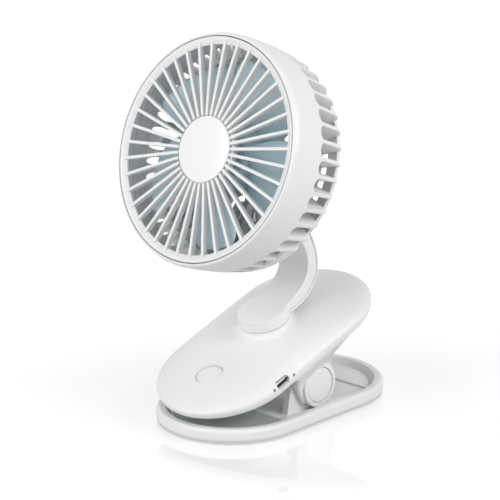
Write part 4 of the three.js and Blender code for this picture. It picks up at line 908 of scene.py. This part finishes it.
def front_grille():
    """Outer ring with its sloping shoulder, hub body and ribs."""
    outer = RIM_RADIUS - 0.25
    ring = rounded([(outer, -0.35, 0.1), (outer - 0.25, -0.1, 0.15), (55.7, -0.25, 0.2), (52.9, -1.7, 0.25),
                    (52.9, -2.6, 0.25), (54.6, -3.6, 0.3), (54.6, -6.2, 0.3), (outer, -6.2)], 4)
    hub = rounded([(0, -5.6), (18.0, -5.6, 0.5), (18.4, -5, 0.3), (18.4, -2.4, 0.4), (0, -2.4)], 4, closed=False)
    shape = together(lathe(ring, 312), lathe(hub, 128), grille_ribs())
    piece("front_grille", shape, ON_HEAD, ABS_SATIN)
    disc = rounded([(0, -1.6), (DISC_RADIUS, -1.6, 0.1), (DISC_RADIUS, -0.62, 0.35), (9, -0.28, 20), (0, -0.2)], 8,
                   closed=False)
    piece("grille_hub_disc", lathe(disc, 168), ON_HEAD, ABS_POLISHED)


def rear_cap():
    """The domed cover over the motor's screws."""
    back = -HEAD_DEPTH - 0.3
    arc = [(18.4 * sin(a), back - 3.2 * cos(a)) for a in np.linspace(0, pi / 2, 24)]
    inner = [(13.6, back), (12.6, back - 1.3), (0, back - 1.3)]
    piece("rear_cap", lathe(arc + inner, 128), ON_HEAD, ABS_SATIN)


def blade(index):
    """A twisted sheet: radius runs hub to tip with u, the angle with w, the depth rises along w by the pitch
    and bellies a little; half the thickness is 0.75 (1 - (2w)^8)^(1/2), so its edges are round and closed."""
    u = np.linspace(0, 1, 28)[:, None]
    w = -0.5 * np.cos(np.linspace(0, pi, 34))[None, :]
    root = HUB_RADIUS - 0.9
    radius = root + u * (BLADE_TIP - root) + 0 * w
    span = np.radians(70 - 22 * u ** 2)
    corner = 1 - 0.10 * np.clip((u - 0.8) / 0.2, 0, 1) ** 2
    angle = w * span * corner + radians(10) * u + BLADE_PHASE + TAU * index / BLADE_COUNT
    depth = -16.8 + 2 * w * (7.4 - 1.2 * u) + 1.6 * (1 - 4 * w ** 2) * u
    tip = np.sqrt(np.clip(1 - np.clip((u - 0.97) / 0.03, 0, 1) ** 2, 0, 1))
    thick = 0.75 * np.sqrt(1 - (2 * w) ** 8) * tip
    x, y = radius * np.cos(angle), radius * np.sin(angle)
    front, back = (np.stack([x, y, depth + s * thick], -1).reshape(-1, 3) for s in (1, -1))
    rows, columns = radius.shape
    faces = grid_faces(rows, columns) + grid_faces(rows, columns, start=rows * columns)
    root_edge = [[k, k + 1, rows * columns + k + 1, rows * columns + k] for k in range(columns - 1)]
    return np.concatenate([front, back]), faces + root_edge


def impeller():
    """Cup with its boss, and the blades."""
    front, rear = -8.6, -25.0
    boss = -15 + 0.6
    cup = rounded([(1.35, front - 1.6), (1.2, front - 0.4, 0.1), (HUB_RADIUS - 6, front - 0.3, 8),
                   (HUB_RADIUS, front - 1.5, 2.6), (HUB_RADIUS, rear, 0.4), (HUB_RADIUS - 2, rear, 0.4),
                   (HUB_RADIUS - 2, front - 3.2, 1.4), (3.4, front - 2, 0.4), (3.4, boss, 0.3), (1.35, boss)], 5)
    shape = together(lathe(cup, 128), *[blade(i) for i in range(BLADE_COUNT)])
    piece("impeller", shape, ON_ROTOR, ABS_BLUE, sharp=40)


def motor():
    """Can with its rolled edges and the shaft."""
    seat = 4.15
    can = rounded([(1.55, -17.15), (seat, -17.15), (seat, -15, 0.1), (14.5, -15, 1.2), (14.5, -40.8, 0.8),
                   (seat, -40.8, 0.1), (seat, -38.65), (1.55, -38.65)], 5)
    piece("motor_can", lathe(can, 96), ON_HEAD, STEEL_CAN,
          cuts=[cylinder(1.3, -42, -34.8, x, 0, 20) for x, _ in MOTOR_SCREWS])
    shaft = rounded([(0, -40.4), (1.25, -40.4, 0.2), (1.25, -10.4, 0.2), (0, -10.4)], 3, closed=False)
    piece("motor_shaft", lathe(shaft, 32), ON_ROTOR, STEEL_PLATED)
    screws("motor_screw", ON_HEAD, MOTOR_SCREWS, [-35.8] * 2, head=-HEAD_DEPTH - 1.2, seat=-HEAD_DEPTH - 0.1,
           head_radius=2.3, shank_radius=1.15)


# ---- pieces kept from the CAD
def kept(node, finish):
    """A CAD node that keeps its own mesh."""
    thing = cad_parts[node]
    thing.data.materials.clear()
    thing.data.materials.append(finish[0])


for build in (base_shell, base_underside, lower_jaw_pad, axle_and_spring, clip_top_cover, clip_underside,
              clip_details, arm_front_shell, arm_back_cover, tilt_joint, head_housing, front_grille, rear_cap,
              impeller, motor):
    build()
for node_name, finish in {"tact_switch": NYLON, "circuit_board": BOARD, "battery_cell": FILM, "motor_lead": JACKET,
                          "swivel_washer": STEEL_PLATED, "swivel_screw": STEEL_PLATED, "front_bearing": BRONZE,
                          "rear_bearing": BRONZE}.items():
    kept(node_name, finish)


# ---- floor and light
def outside_light(tree):
    """1 on rays from the camera, from gloss and through glass, and 0 on those that light the object."""
    rays = add(tree, 'ShaderNodeLightPath').outputs
    seen = rays['Is Camera Ray']
    for kind in ('Is Transmission Ray', 'Is Glossy Ray'):
        seen = add(tree, 'ShaderNodeMath', {0: seen, 1: rays[kind]}, operation='MAXIMUM').outputs[0]
    return seen


REACH, BELOW = 6, -0.0002  # half width of the floor and its level, in metres
floor_mesh = bpy.data.meshes.new("floor")
floor_mesh.from_pydata([(x * REACH, y * REACH, BELOW) for x, y in ((-1, -1), (1, -1), (1, 1), (-1, 1))], [],
                       [(0, 1, 2, 3)])
floor = bpy.data.objects.new("floor", floor_mesh)
bpy.context.scene.collection.objects.link(floor)
# Satin acrylic sheet: a white that keeps the real contact shadow and a faint real reflection of what stands on it.
# Rays from the camera also see a painted glow (emission). It is weaker near the object, a painted shade round it,
# so the floor brightens to white with the distance from the object.
floor_material = bpy.data.materials.new("studio_sweep_painted_glow")
sweep = emptied(floor_material)
matt = add(sweep, 'ShaderNodeBsdfDiffuse', {'Color': linear("#CCCCCC")})
pale = add(sweep, 'ShaderNodeBsdfDiffuse', {'Color': linear("#9C9C9C")})
place = add(sweep, 'ShaderNodeTexCoord')
away = add(sweep, 'ShaderNodeVectorMath', {0: place.outputs['Object']}, operation='LENGTH')
# Strength of the painted glow: low near the object, which paints shade there, and full white far off.
level = add(sweep, 'ShaderNodeMapRange', {'Value': away.outputs['Value'], 'From Min': 0.1, 'From Max': 0.45,
                                          'To Min': 0.50, 'To Max': 0.8})
painted_glow = add(sweep, 'ShaderNodeEmission', {'Color': linear("#FFFFFF"), 'Strength': level.outputs['Result']})
sheen = add(sweep, 'ShaderNodeBsdfGlossy', {'Color': linear("#7C7C7C"), 'Roughness': 0.06})
shown = add(sweep, 'ShaderNodeAddShader', {0: pale.outputs[0], 1: painted_glow.outputs[0]})
shown = add(sweep, 'ShaderNodeAddShader', {0: shown.outputs[0], 1: sheen.outputs[0]})
cover = add(sweep, 'ShaderNodeMixShader', {0: outside_light(sweep), 1: matt.outputs[0], 2: shown.outputs[0]})
add(sweep, 'ShaderNodeOutputMaterial', {'Surface': cover.outputs[0]})
floor_mesh.materials.append(floor_material)

world = bpy.data.worlds.new("studio")
bpy.context.scene.world = world
sky = emptied(world)
soft = add(sky, 'ShaderNodeBackground', {'Color': linear("#FFFFFF"), 'Strength': 0.34})
white = add(sky, 'ShaderNodeBackground', {'Color': linear("#FFFFFF"), 'Strength': 1.0})
blend = add(sky, 'ShaderNodeMixShader', {0: outside_light(sky), 1: soft.outputs[0], 2: white.outputs[0]})
add(sky, 'ShaderNodeOutputWorld', {'Surface': blend.outputs[0]})


CENTRE = Vector((0, -0.02, 0.1))


def lamp(name, place, size, power):
    """A square soft box at `place`, in metres, turned towards the object's centre."""
    light = bpy.data.lights.new(name, 'AREA')
    light.shape, light.size, light.energy = 'SQUARE', size, power
    thing = bpy.data.objects.new(name, light)
    thing.location = place
    thing.rotation_euler = (CENTRE - Vector(place)).to_track_quat('-Z', 'Y').to_euler()
    bpy.context.scene.collection.objects.link(thing)


lamp("key", (-0.45, -1.5, 0.85), 1.0, 16.5)
lamp("right", (1.3, 0.4, 0.9), 0.9, 13)
lamp("front right", (1.2, -0.9, 0.7), 0.9, 3.5)
lamp("top", (0.2, 0.3, 1.6), 0.9, 1.5)
